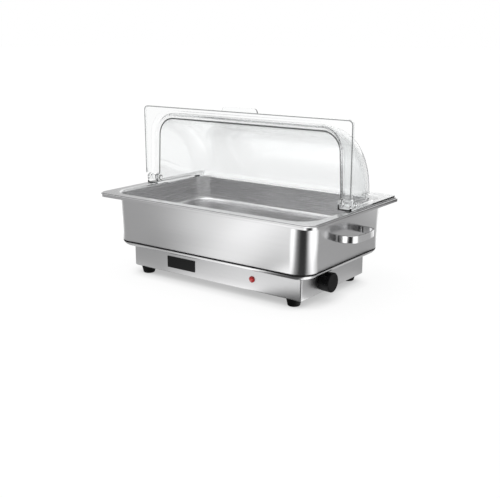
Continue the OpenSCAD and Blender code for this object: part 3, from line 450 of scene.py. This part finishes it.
cover_plate = plain_metal("cover_plate", (0.52, 0.53, 0.53), 0.42)
screw_steel = plain_metal("screw_steel", (0.66, 0.66, 0.65), 0.3)
stay(cover_plate, "bottom_cover")
sheet_screw = {"head": 3.5, "head_height": 2.0, "shank": 1.5}
fix(screw_set("cover_screw_set", "bottom_cover_screws", (0, 0, -1), screw_steel, **sheet_screw),
    "base", "fastener_steel", "bottom_cover_screws")


# The feet are moulded black rubber cones with rounded rims. Each is held by a screw sunk into it from
# below and a nut inside the base.
def moulded(name, shade, rough, tooth=1100.0, depth=0.12):
    """Moulded plastic or rubber with a fine matt texture and faint flow marks."""
    finish, tree, body = new_finish(name)
    flow = noise(tree, 60.0, 3.0)
    pores = noise(tree, tooth, 2.0)
    tree.links.new(tinted(tree, shade, 0.18, flow), body.inputs["Base Color"])
    tree.links.new(spread(tree, flow, rough - 0.05, rough + 0.07), body.inputs["Roughness"])
    relief = add(tree, "ShaderNodeBump", {"Height": pores, "Strength": depth, "Distance": 0.0001})
    tree.links.new(relief.outputs[0], body.inputs["Normal"])
    return finish, body


foot_rubber, foot_skin = moulded("foot_rubber", (0.004, 0.004, 0.004), 0.6)
foot_skin.inputs["Specular IOR Level"].default_value = 0.15
foot_top, foot_bottom, foot_height = 16.0, 12.5, 16.0
foot_x, foot_y = 196.5, 107.0
foot_pocket, pocket_depth, foot_hole = 5.6, 8.0, 2.8
foot_side = bent([(foot_pocket, 0), (foot_bottom, 0), (foot_top, foot_height), (foot_hole, foot_height)],
                 [0, 3.0, 0.8, 0], 7)
foot_inside = [(foot_hole, pocket_depth), (foot_pocket, pocket_depth)]
foot_profile = [*foot_inside, *foot_side, foot_inside[0]]
foot_shape = dress(turned("foot", foot_profile, foot_rubber, 12))
corners = [(i * foot_x, j * foot_y, 0.0) for j in (-1, 1) for i in (-1, 1)]
fix(set_out("foot_set", foot_shape, corners, (0, 0, 1), foot_rubber), "base", "foot_rubber",
    "foot_front_left", "foot_front_right", "foot_rear_left", "foot_rear_right")
foot_screw = {"head": 4.6, "head_height": 3.0, "shank": 2.5}
fix(screw_set("foot_screw_set", "foot_screws", (0, 0, -1), screw_steel, **foot_screw),
    "base", "fastener_steel", "foot_screws")
stay(screw_steel, "foot_nuts")


# The heater is a bent sheathed tube, clamped by two bars to an aluminium spreader under the pan. A
# folded sheet below it keeps the heat off the wires.
spreader_metal = plain_metal("spreader_metal", (0.77, 0.78, 0.79), 0.4)
sheath_metal = plain_metal("sheath_metal", (0.2, 0.185, 0.17), 0.45, 0.25)
bright_sheet = plain_metal("bright_sheet", (0.7, 0.7, 0.69), 0.36)
terminal_brass = plain_metal("terminal_brass", (0.78, 0.58, 0.27), 0.32)
stay(spreader_metal, "heater_plate")
stay(sheath_metal, "heating_element")
stay(terminal_brass, "element_terminals")
stay(bright_sheet, "element_clamps", "clamp_spacers", "heat_shield")
clamp_screw = {"head": 3.6, "head_height": 2.2, "shank": 2.0}
fix(screw_set("clamp_screw_set", "clamp_screws", (0, 0, -1), screw_steel, **clamp_screw),
    "base", "fastener_steel", "clamp_screws")
fix(screw_set("shield_screw_set", "shield_screws", (0, 0, 1), screw_steel, **sheet_screw),
    "base", "fastener_steel", "shield_screws")


# The thermostat is a moulded block behind the right wall, held by the nut on its bush. A thin copper
# tube leads to its sensor, clipped under the spreader beside a thermal cut-out.
def smooth_copy(name, node, finish, crease=32.0):
    """A CAD piece's own shape with its flat faces made whole, closed and smoothed."""
    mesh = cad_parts[node].data.copy()
    work = bmesh.new()
    work.from_mesh(mesh)
    bmesh.ops.remove_doubles(work, verts=work.verts, dist=2e-6)
    bmesh.ops.dissolve_limit(work, angle_limit=math.radians(0.6), verts=work.verts, edges=work.edges)
    work.to_mesh(mesh)
    work.free()
    mesh.materials.clear()
    mesh.materials.append(finish)
    return dress(new_piece(name, mesh), crease)


pale_moulding, _ = moulded("pale_moulding", (0.62, 0.6, 0.54), 0.42)
black_moulding, _ = moulded("black_moulding", (0.016, 0.016, 0.017), 0.4)
copper = plain_metal("copper", (0.72, 0.37, 0.22), 0.33)
stay(pale_moulding, "thermostat")
stay(screw_steel, "thermostat_nut", "thermostat_shaft")
stay(bright_sheet, "bulb_clip")
stay(copper, "sensor_bulb")
stay(black_moulding, "thermal_cutout")
fix(smooth_copy("capillary", "capillary_tube", copper, 60.0), "base", "sensor_copper", "capillary_tube")


# The lamp is a moulded red lens with a domed front, pushed into the front wall. Its black body behind
# the wall is held by a spring ring.
def lens_finish():
    """Clear red plastic over a ribbed inside."""
    finish, tree, lens = new_finish("red_lens")
    place = add(tree, "ShaderNodeTexCoord").outputs["Object"]
    ribs = add(tree, "ShaderNodeTexVoronoi", {"Vector": place, "Scale": 520.0}).outputs["Distance"]
    tree.links.new(tinted(tree, (0.5, 0.008, 0.01), 0.3, ribs), lens.inputs["Base Color"])
    relief = add(tree, "ShaderNodeBump", {"Height": ribs, "Strength": 0.12, "Distance": 0.0003})
    tree.links.new(relief.outputs[0], lens.inputs["Normal"])
    lens.inputs["Roughness"].default_value = 0.18
    lens.inputs["Coat Weight"].default_value = 0.6
    lens.inputs["Coat Roughness"].default_value = 0.05
    return finish


def out_of_front(piece, x):
    """Turns a piece that was made upwards to stand out of the front wall."""
    place = Matrix.Translation(Vector((x, -base_y, panel_z)) * mm)
    piece.data.transform(place @ Matrix.Rotation(math.pi / 2, 4, "X"))
    return piece


lens_rim, lens_foot, lens_radius, lens_rise = 6.8, 1.6, 6.0, 3.0
lens_edge = [(0, 0), (lens_rim, 0), (lens_rim, lens_foot - 0.25), (lens_rim - 0.25, lens_foot)]
lens_arc = [math.radians(a) for a in range(0, 91, 9)]
lens_dome = [(lens_radius * math.cos(a), lens_foot + lens_rise * math.sin(a)) for a in lens_arc]
lens = turned("red_lens", lens_edge + lens_dome, lens_finish(), 10)
fix(out_of_front(dress(lens), lamp_x), "base", "lens_red", "lamp_lens")
stay(black_moulding, "lamp_body")
stay(bright_sheet, "lamp_clip")


# The plate is a bare piece of black plastic with rounded corners and a softened front edge, stuck to
# the left half of the front wall.
plate_black, plate_skin = moulded("plate_black", (0.006, 0.006, 0.0065), 0.4, 700.0, 0.06)
plate_skin.inputs["Specular IOR Level"].default_value = 0.2
plate_at, plate_x, plate_z, plate_corner, plate_sheet = -85.6, 38.75, 12.7, 1.5, 1.2
plate_edge = [(0.0, 0.0), (0.0, 0.85), (0.1, 1.07), (0.35, plate_sheet)]
plate_rows = [(plate_x - plate_z, 0.0, 0.0, 0.0)]
plate_rows += [(plate_x - inset, plate_z - inset, plate_corner - inset, rise) for inset, rise in plate_edge]
plate_rows.append((plate_x - plate_z, 0.0, 0.0, plate_sheet))
plate = shell_piece("bare_plate", plate_rows, plate_black, 7)
fix(out_of_front(dress(plate), plate_at), "base", "plate_black", "name_plate")


# The power inlet is a moulded black socket with three flat brass pins. Two screws from outside and nuts
# inside hold it to the rear wall, and the earth stud stands beside it.
fix(smooth_copy("inlet_socket", "inlet_housing", black_moulding), "base", "inlet_black", "inlet_housing")
stay(terminal_brass, "inlet_pins")
inlet_screw = {"head": 2.8, "head_height": 1.8, "shank": 1.5}
fix(screw_set("inlet_screw_set", "inlet_screws", (0, 1, 0), screw_steel, **inlet_screw),
    "base", "fastener_steel", "inlet_screws")
stay(screw_steel, "inlet_nuts", "earth_stud")


# The wires are stranded copper in heat-proof coloured sleeves, bent to their routes by hand. Crimped
# clips at their ends push on to the tabs.
wires = (("live_wire", "wire_brown", (0.16, 0.06, 0.025)), ("neutral_wire", "wire_blue", (0.02, 0.08, 0.3)),
         ("earth_wire", "wire_green", (0.12, 0.3, 0.03)), ("heater_wires", "wire_white", (0.66, 0.64, 0.6)),
         ("lamp_wires", "wire_red", (0.42, 0.02, 0.02)))
for node, slot, shade in wires:
    sleeve, _ = moulded(slot, shade, 0.5, 900.0, 0.15)
    fix(smooth_copy(node + "_sleeve", node, sleeve, 60.0), "base", slot, node)


# The water pan is deep-drawn from 1 mm stainless sheet and brushed outside. Its wide flat rim ends
# in a turned-down edge, and studs welded under it are nutted to the housing's top flange.
pan_steel = brushed_steel("pan_steel", (0.64, 0.64, 0.645), 0.2)
pan_sheet = 1.0
rim_x, rim_y, rim_corner, rim_z = 280.0, 177.5, 22.0, 183.0


def drawn_pan(x, y, r, low, top, draft, foot_bend, lip_bend, edge):
    """The rings of a drawn pan: its inside from the middle of the bottom up to the rim, the rim's edge,
    and its outside back down. edge lists the rim's rings from the inside to the outside."""
    half = pan_sheet / 2
    head = r - half
    foot = head - (top - low - pan_sheet) * math.tan(math.radians(draft))
    middle = bent([(0, low + half), (foot, low + half), (head, top - half),
                   (head + lip_bend + 2, top - half)], [0, foot_bend, lip_bend, 0], 10)
    inside, outside = [[(x - r + out, y - r + out, max(0.0, out), height)
                        for out, height in beside(middle, gap)] for gap in (half, -half)]
    rows = [(x - y, 0.0, 0.0, low + pan_sheet)] + inside + edge + outside[::-1] + [(x - y, 0.0, 0.0, low)]
    return rows + [rows[0]]


def rim_rings(path):
    """The rings of a rim, from how far out along the length and how high each one is."""
    return [(out, out - rim_x + rim_y, out - rim_x + rim_corner, height) for out, height in path]


def rim_edge():
    """The water pan's rim, turned down at its edge."""
    start, end = rim_x - 3.0, rim_z - 6.5
    over = bent([(start, rim_z), (rim_x, rim_z), (rim_x, end)], [0, 2.0, 0])
    tip = [(rim_x - 0.3, end - 0.3), (rim_x - 0.7, end - 0.3)]
    inner, low = rim_x - pan_sheet, rim_z - pan_sheet
    under = bent([(inner, end), (inner, low), (start, low)], [0, 1.0, 0])
    return rim_rings([(start, rim_z), *over, *tip, *under])


well_x, well_y, well_corner, well_draft = 259.0, 156.5, 45.0, 2.8
well_rows = drawn_pan(well_x, well_y, well_corner, base_top, rim_z, well_draft,
                      foot_bend=15.0, lip_bend=3.0, edge=rim_edge())
fix(dress(shell_piece("water_pan_sheet", well_rows, pan_steel)), "base", "pan_steel", "water_pan")
stay(screw_steel, "pan_studs", "pan_nuts")


# Each handle is a bent strap of polished stainless steel with softened edges, welded by its two ends to
# the pan's end wall.
def polished_steel(name, shade, rough):
    """Buffed stainless steel with faint lengthways lines."""
    finish, tree, steel = new_finish(name)
    fine, broad = grain(tree, 900.0, 160.0)
    tree.links.new(tinted(tree, shade, 0.02, broad), steel.inputs["Base Color"])
    steel.inputs["Metallic"].default_value = 1.0
    tree.links.new(spread(tree, fine, rough - 0.03, rough + 0.04), steel.inputs["Roughness"])
    relief = add(tree, "ShaderNodeBump", {"Height": fine, "Strength": 0.03, "Distance": 0.0001})
    tree.links.new(relief.outputs[0], steel.inputs["Normal"])
    return finish


def strap_tree():
    """A strap with softened edges along a path."""
    tree, given = new_tree("strap", (("Path", "NodeSocketGeometry"), ("Width", "NodeSocketFloat"),
                                     ("Thickness", "NodeSocketFloat"), ("Edge", "NodeSocketFloat"),
                                     ("Finish", "NodeSocketMaterial")))
    path = add(tree, "GeometryNodeMeshToCurve", {"Mesh": given["Path"]}).outputs[0]
    level = add(tree, "GeometryNodeSetCurveNormal", {"Curve": path}, mode="Z_UP").outputs[0]
    outline = add(tree, "GeometryNodeCurvePrimitiveQuadrilateral",
                  {"Width": given["Thickness"], "Height": given["Width"]}).outputs[0]
    soft = add(tree, "GeometryNodeFilletCurve", {"Curve": outline, "Count": 4, "Radius": given["Edge"]},
               mode="POLY").outputs[0]
    bar = add(tree, "GeometryNodeCurveToMesh",
              {"Curve": level, "Profile Curve": soft, "Fill Caps": True}).outputs[0]
    return end_tree(tree, bar, given["Finish"])


strap = strap_tree()
handle_steel = polished_steel("handle_steel", (0.72, 0.72, 0.725), 0.12)
strap_width, strap_sheet = 14.5, 2.5
strap_x, strap_y = 39.75, 48.75
handle_z = 134.5
handle_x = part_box("handle_right")[0].x / mm + strap_width / 2 * math.tan(math.radians(well_draft))


def handle_piece(name, side):
    """A strap bent to its shape, with a weld bead round each end."""
    leg, near, middle = strap_x - 5.0, strap_y - 4.5, 0.27 * strap_y
    path = bent([(-0.3, -strap_y), (5, -strap_y), (leg, -near), (strap_x, -middle), (strap_x, middle),
                 (leg, near), (5, strap_y), (-0.3, strap_y)], [0, 30, 20, 90, 90, 20, 30, 0], 9)
    mesh = bpy.data.meshes.new(name)
    spots = [(x * mm, y * mm, 0.0) for x, y in path]
    mesh.from_pydata(spots, [(i, i + 1) for i in range(len(path) - 1)], [])
    bar = grow(new_piece(name, mesh), strap, {"Width": strap_width * mm, "Thickness": strap_sheet * mm,
                                              "Edge": 0.6 * mm, "Finish": handle_steel})
    work = bmesh.new()
    work.from_mesh(bar.data)
    weld = 0.7
    ring = [(math.cos(math.radians(a)), math.sin(math.radians(a))) for a in range(0, 361, 36)]
    rows = [(strap_sheet / 2 + weld * c, strap_width / 2 + weld * c, weld + 0.6 * c, 0.8 + weld * s)
            for c, s in ring]
    for end in (-1, 1):
        bead = shell_piece("bead", rows, handle_steel, 5)
        upright = Matrix(((0, 0, 1, 0), (1, 0, 0, 0), (0, 1, 0, 0), (0, 0, 0, 1)))
        bead.data.transform(Matrix.Translation((0, end * strap_y * mm, 0)) @ upright)
        work.from_mesh(bead.data)
        bpy.data.objects.remove(bead)
    work.to_mesh(bar.data)
    work.free()
    place = Matrix.Translation(Vector((handle_x, 0, handle_z)) * mm)
    bar.data.transform(Matrix.Rotation(0.0 if side > 0 else math.pi, 4, "Z") @ place)
    return dress(bar)


for label, side in (("right", 1), ("left", -1)):
    fix(handle_piece("strap_" + label, side), "base", "handle_steel", "handle_" + label)


# The knob is a plain moulded black cap, a little wider at its front, with softened edges. It is hollow
# at the back, where it covers the nut, and is pushed on to the thermostat's shaft.
knob_black, knob_skin = moulded("knob_black", (0.003, 0.003, 0.0032), 0.42, 900.0, 0.08)
knob_skin.inputs["Specular IOR Level"].default_value = 0.13
knob_back, knob_reach, knob_radius = 1.5, 23.5, 20.5
hollow_radius, hollow_depth = 11, 7
knob_side = bent([(hollow_radius, 0), (knob_radius - 1, 0), (knob_radius, knob_reach), (0, knob_reach)],
                 [0, 1.5, 2.0, 0], 8)
knob_profile = [(0, hollow_depth), (hollow_radius, hollow_depth), *knob_side]
knob_cap = turned("knob_cap", knob_profile, knob_black, 16)
knob_cap.data.transform(Matrix.Translation(Vector((base_x + knob_back, knob_y, panel_z)) * mm)
                        @ Matrix.Rotation(math.pi / 2, 4, "Y"))
fix(dress(knob_cap), "knob", "knob_black", "knob")


# The food pan is drawn from the same sheet, with more slope. It hangs by its rim, whose edge is
# folded under, on the water pan's rim, and it lifts out.
food_steel = brushed_steel("food_steel", (0.66, 0.66, 0.665), 0.26, 0.012)
food_z = 184.6


def folded_edge():
    """The food pan's rim, folded under along its edge."""
    start, fold, outer = 274.0, 275.0, 277.0
    low, under = 183.2, food_z - pan_sheet
    turn = bent([(start, food_z), (outer, food_z), (outer, low), (fold, low), (fold, under), (start, under)],
                [0, 0.65, 0.65, 0.15, 0.15, 0], 5)
    return rim_rings([(start, food_z), *turn])


food_x, food_y, food_corner, food_low, food_draft = 255.5, 153.0, 44.0, 121.6, 5.0
food_rows = drawn_pan(food_x, food_y, food_corner, food_low, food_z, food_draft,
                      foot_bend=10.0, lip_bend=6.0, edge=folded_edge())
fix(dress(shell_piece("food_pan_sheet", food_rows, food_steel)), "food_pan", "food_pan_steel", "food_pan")


# The rear cover is moulded in one piece of clear polycarbonate: a quarter dome with a skirt and a flat
# flange that lies on the food pan's rim. Clear pins through its ears carry the front cover.
def place_in(tree):
    """The three coordinates of a place on the object."""
    return add(tree, "ShaderNodeSeparateXYZ", {0: add(tree, "ShaderNodeTexCoord").outputs["Object"]}).outputs


def clear_plastic(name, rough, edge_shade_mask, edge_shade_share):
    """Clear polycarbonate, faintly grey where it is seen through its thickness, with a dark grey matt band
    where a mask picks out an edge line: painted shade for the dark line an edge of clear plastic shows.
    """
    finish, tree, clear = new_finish(name)
    haze = noise(tree, 35.0, 3.0)
    tree.links.new(spread(tree, haze, rough * 0.5, rough * 1.5), clear.inputs["Roughness"])
    clear.inputs["Base Color"].default_value = (0.985, 0.99, 0.99, 1.0)
    clear.inputs["Transmission Weight"].default_value = 1.0
    clear.inputs["IOR"].default_value = 1.5
    depth = add(tree, "ShaderNodeVolumeAbsorption", {"Color": (0.55, 0.58, 0.58, 1.0), "Density": 8.0})
    tree.links.new(depth.outputs[0], tree.nodes["Material Output"].inputs["Volume"])
    # Painted shade: a dark grey matt band stands in for the dark lines at the plastic's edges.
    matt = add(tree, "ShaderNodeBsdfDiffuse", {"Color": (0.2, 0.21, 0.21, 1.0)}).outputs[0]
    share = sums(tree, "MULTIPLY", edge_shade_mask(tree, place_in(tree)), edge_shade_share)
    both = add(tree, "ShaderNodeMixShader", {0: share, 1: clear.outputs[0], 2: matt}).outputs[0]
    tree.links.new(both, tree.nodes["Material Output"].inputs["Surface"])
    return finish


def arch_line_shade(tree, at):
    """The rear cover's cut edge, under the front cover, where painted shade gives it a dark line."""
    front = sums(tree, "LESS_THAN", at["Y"], (hinge_y + 0.2) * mm)
    return sums(tree, "MULTIPLY", front, sums(tree, "GREATER_THAN", at["Z"], (hinge_z + 9.5) * mm))


def let_light_through(piece):
    """Clear plastic dims the light on what is under it too little to show."""
    piece.visible_shadow = False
    piece.visible_diffuse = False
    return piece


hinge_y, hinge_z = -13.5, 198.5
rear_clear = clear_plastic("rear_clear", 0.02, arch_line_shade, 0.5)
rear_cover = let_light_through(smooth_copy("rear_dome", "rear_cover", rear_clear))
fix(rear_cover, "rear_cover", "rear_cover_clear", "rear_cover")
for label in ("left", "right"):
    pin = let_light_through(smooth_copy("pin_" + label, "hinge_pin_" + label, rear_clear))
    fix(pin, "rear_cover", "pin_clear", "hinge_pin_" + label)
stay(bright_sheet, "hinge_retainers")


# The front cover is a second quarter dome of the same clear plastic, a little larger, with a turned
# flange and a grip tab along its front. It rolls back over the rear cover on the pins.
def clear_of(tree, past):
    """How far a place is outside a square corner, from how far it is past each of the two sides."""
    outside = [sums(tree, "MAXIMUM", side, 0.0) for side in past]
    return sums(tree, "SQRT", sums(tree, "ADD", *[sums(tree, "MULTIPLY", side, side) for side in outside]))


def flange_line_shade(tree, at):
    """A narrow border along the flange's outline, on its face, where painted shade gives the flange's edge a
    grey line.
    """
    flange_x, flange_z, corner, border = 272.5, 165.0, 10.0, 1.9
    past = [sums(tree, "SUBTRACT", sums(tree, "ABSOLUTE", at["X"]), (flange_x - corner) * mm),
            sums(tree, "SUBTRACT", at["Z"], (hinge_z + flange_z - corner) * mm)]
    gap = clear_of(tree, past)
    near = sums(tree, "GREATER_THAN", gap, (corner - border) * mm)
    inside = sums(tree, "LESS_THAN", gap, (corner + 0.1) * mm)
    face = sums(tree, "LESS_THAN", at["Y"], (hinge_y - 13.0) * mm)
    return sums(tree, "MULTIPLY", face, sums(tree, "MULTIPLY", near, inside))


front_clear = clear_plastic("front_clear", 0.02, flange_line_shade, 0.8)
front_cover = let_light_through(smooth_copy("front_dome", "front_cover", front_clear))
fix(front_cover, "front_cover", "front_cover_clear", "front_cover")


# The floor is a flat white sheet, the light is soft and from all sides, and the camera stands to the
# right of the front. Steel shows long white screens with dark gaps between them round the table, painted on
# the floor and seen only in reflections.
floor_mesh = bpy.data.meshes.new("floor")
floor_mesh.from_pydata([(-20, -20, 0), (20, -20, 0), (20, 20, 0), (-20, 20, 0)], [], [(0, 1, 2, 3)])
floor = new_piece("floor", floor_mesh)


def marked_ramp(tree, value, low, high, stops, top):
    """A level that follows stops along a value's range; the highest level is top."""
    part = add(tree, "ShaderNodeMapRange", {"Value": value, "From Min": low, "From Max": high}).outputs[0]
    ramp = add(tree, "ShaderNodeValToRGB", {"Fac": part})
    ramp.color_ramp.interpolation = "EASE"
    marks = ramp.color_ramp.elements
    while len(marks) < len(stops):
        marks.new(0.5)
    for mark, (spot, level) in zip(marks, stops):
        mark.position = (spot - low) / (high - low)
        mark.color = (level / top, level / top, level / top, 1.0)
    return sums(tree, "MULTIPLY", ramp.outputs["Color"], top)


def bearing(tree, place):
    """The angle of a place or a direction round the table, from the front."""
    return sums(tree, "ARCTAN2", place["X"], sums(tree, "MULTIPLY", place["Y"], -1.0))


def screen_pattern(tree, turn, gap):
    """How bright the screens are by the angle round the table, at three distances from the pan; opposite
    sides are alike."""
    start, end, brightest = -45.0, 135.0, 1.9
    half_turn = sums(tree, "FLOORED_MODULO", sums(tree, "ADD", turn, math.pi / 4), math.pi)
    angle = sums(tree, "SUBTRACT", sums(tree, "MULTIPLY", half_turn, 180.0 / math.pi), 45.0)
    far = [(-45, 0.5), (-29, 1.12), (-18, 1.56), (-2, 1.0), (11, 1.9), (15, 1.9), (33, 0.2), (43, 0.04),
           (58, 0.04), (79, 1.85), (91, 1.85), (117, 0.5), (135, 0.5)]
    middle = [(-45, 0.45), (-15, 1.25), (-10, 1.25), (8, 0.72), (15, 1.7), (20, 1.6), (33, 0.32), (44, 0.05),
              (57, 0.05), (81, 1.6), (90, 1.1), (107, 0.5), (135, 0.5)]
    near = [(-45, 0.66), (-19, 0.95), (10, 1.15), (27, 1.25), (38, 0.3), (45, 0.1), (58, 0.1), (64, 1.4),
            (70, 1.45), (75, 0.55), (88, 0.5), (110, 0.55), (135, 0.5)]
    level = marked_ramp(tree, angle, start, end, near, brightest)
    for closer, farther, stops in ((0.11, 0.15, middle), (0.25, 0.33, far)):
        away = add(tree, "ShaderNodeMapRange", {"Value": gap, "From Min": closer, "From Max": farther})
        beyond = marked_ramp(tree, angle, start, end, stops, brightest)
        level = add(tree, "ShaderNodeMix", {0: away.outputs[0], 2: level, 3: beyond}).outputs[0]
    return level


def floor_finish():
    """White to the eye, with a soft shadow that is mostly painted from how close the object stands and
    partly real; in reflections it shows the screens painted on it.
    """
    finish = bpy.data.materials.new("white_floor")
    finish.use_nodes = True
    tree = finish.node_tree
    tree.nodes.clear()
    path = add(tree, "ShaderNodeLightPath").outputs
    lit = add(tree, "ShaderNodeBsdfDiffuse", {"Color": (1.0, 1.0, 1.0, 1.0)}).outputs[0]
    # Painted shadow: an emission dimmed where ambient occlusion finds the object close, mixed with a little
    # of the real lit floor.
    near = add(tree, "ShaderNodeAmbientOcclusion", {"Distance": 0.055}, samples=16).outputs["AO"]
    shade = add(tree, "ShaderNodeMapRange", {"Value": near, "From Min": 0.1, "From Max": 0.85,
                                             "To Min": 0.5, "To Max": 1.02}).outputs[0]
    white = add(tree, "ShaderNodeEmission", {"Color": (1, 1, 1, 1), "Strength": shade}).outputs[0]
    eye = add(tree, "ShaderNodeMixShader", {0: 0.88, 1: lit, 2: white}).outputs[0]
    place = place_in(tree)
    turn = bearing(tree, place)
    foot_inset = 5.5
    past = [sums(tree, "SUBTRACT", sums(tree, "ABSOLUTE", place[axis]), (half - foot_inset) * mm)
            for axis, half in (("X", well_x), ("Y", well_y))]
    edge = sums(tree, "ADD", clear_of(tree, past), sums(tree, "MINIMUM", sums(tree, "MAXIMUM", *past), 0.0))
    # The far end behind the object is dark, so that the clear cover's outline shows against the white.
    behind = marked_ramp(tree, place["Y"], 0.8, 1.0, [(0.84, 1.0), (0.96, 0.06)], 1.0)
    level = sums(tree, "MULTIPLY", screen_pattern(tree, turn, edge), behind)
    # Painted highlight: a bright band on the floor just round the pan's footprint, seen only in reflections,
    # gives the pan's bottom bend its white strip.
    lift = [(-0.04, 0.9), (-0.02, 1.3), (0.01, 1.3), (0.03, 1.0), (0.16, 1.0)]
    under = marked_ramp(tree, edge, -0.04, 0.16, lift, 1.3)
    strength = sums(tree, "MULTIPLY", level, under)
    mirrored = add(tree, "ShaderNodeEmission", {"Color": (1, 1, 1, 1), "Strength": strength}).outputs[0]
    straight = sums(tree, "MAXIMUM", path["Is Camera Ray"], path["Is Transmission Ray"])
    both = add(tree, "ShaderNodeMixShader", {0: straight, 1: lit, 2: eye}).outputs[0]
    not_through = sums(tree, "SUBTRACT", 1.0, path["Is Transmission Ray"])
    bounced = sums(tree, "MULTIPLY", path["Is Glossy Ray"], not_through)
    both = add(tree, "ShaderNodeMixShader", {0: bounced, 1: both, 2: mirrored}).outputs[0]
    add(tree, "ShaderNodeOutputMaterial", {"Surface": both})
    return finish


floor.data.materials.append(floor_finish())


def dark_card():
    """A dark frame round the pan's bottom bend, seen only in the steel: a painted dark reflection that gives
    the bend its dark line.
    """
    finish = bpy.data.materials.new("dark_card")
    finish.use_nodes = True
    tree = finish.node_tree
    tree.nodes.clear()
    dim = add(tree, "ShaderNodeEmission", {"Color": (1, 1, 1, 1), "Strength": 0.02}).outputs[0]
    add(tree, "ShaderNodeOutputMaterial", {"Surface": dim})
    card_z = base_top + 1.0
    rows = [(well_x + out, well_y + out, well_corner + out, card_z) for out in (-2.5, 16.0)]
    card = shell_piece("dark_card", rows, finish)
    card.visible_camera = False
    card.visible_diffuse = False
    card.visible_transmission = False
    card.visible_shadow = False
    card.visible_volume_scatter = False
    return card


dark_card()


def sky():
    """White behind the object, soft light on it, and in reflections a bright ceiling over screens."""
    world = bpy.data.worlds.new("studio")
    bpy.context.scene.world = world
    world.use_nodes = True
    tree = world.node_tree
    tree.nodes.clear()
    heading = add(tree, "ShaderNodeTexCoord").outputs["Generated"]
    aim = add(tree, "ShaderNodeSeparateXYZ", {0: heading}).outputs
    angle = sums(tree, "MULTIPLY", bearing(tree, aim), 180.0 / math.pi)
    round_about = [(-180, 1.3), (-150, 1.3), (-132, 0.6), (-90, 0.5), (-45, 0.35), (0, 0.5), (60, 0.6),
                   (110, 0.5), (130, 0.12), (160, 0.12), (172, 0.9), (180, 1.3)]
    low = marked_ramp(tree, angle, -180.0, 180.0, round_about, 1.3)
    above = add(tree, "ShaderNodeMapRange", {"Value": aim["Z"], "From Min": 0.45, "From Max": 0.75})
    mirrored = add(tree, "ShaderNodeMix", {0: above.outputs[0], 2: low, 3: 1.08}).outputs[0]
    path = add(tree, "ShaderNodeLightPath").outputs
    clear = sums(tree, "MAXIMUM", path["Is Camera Ray"], path["Is Transmission Ray"])
    level = add(tree, "ShaderNodeMix", {0: path["Is Glossy Ray"], 2: 0.7, 3: mirrored}).outputs[0]
    level = add(tree, "ShaderNodeMix", {0: clear, 2: level, 3: 1.0}).outputs[0]
    light = add(tree, "ShaderNodeBackground", {"Color": (1, 1, 1, 1), "Strength": level}).outputs[0]
    add(tree, "ShaderNodeOutputWorld", {"Surface": light})


sky()

lamp_data = bpy.data.lights.new("overhead", "SUN")
lamp_data.energy = 1.05
lamp_data.angle = math.radians(60)
overhead = bpy.data.objects.new("overhead", lamp_data)
overhead.rotation_euler = (math.radians(14), math.radians(-10), 0)
bpy.context.scene.collection.objects.link(overhead)

view = bpy.data.cameras.new("view")
view.sensor_width = 36.0
view.lens = 58.94
view.clip_end = 100.0
camera = bpy.data.objects.new("view", view)
stand = Vector((1.0471, -1.4010, 0.5307))
aim_at = Vector((0.00834, 0.0, 0.0628))
camera.location = stand
camera.rotation_euler = (aim_at - stand).to_track_quat("-Z", "Y").to_euler()
bpy.context.scene.collection.objects.link(camera)
bpy.context.scene.camera = camera
bpy.context.scene.view_settings.view_transform = "Standard"
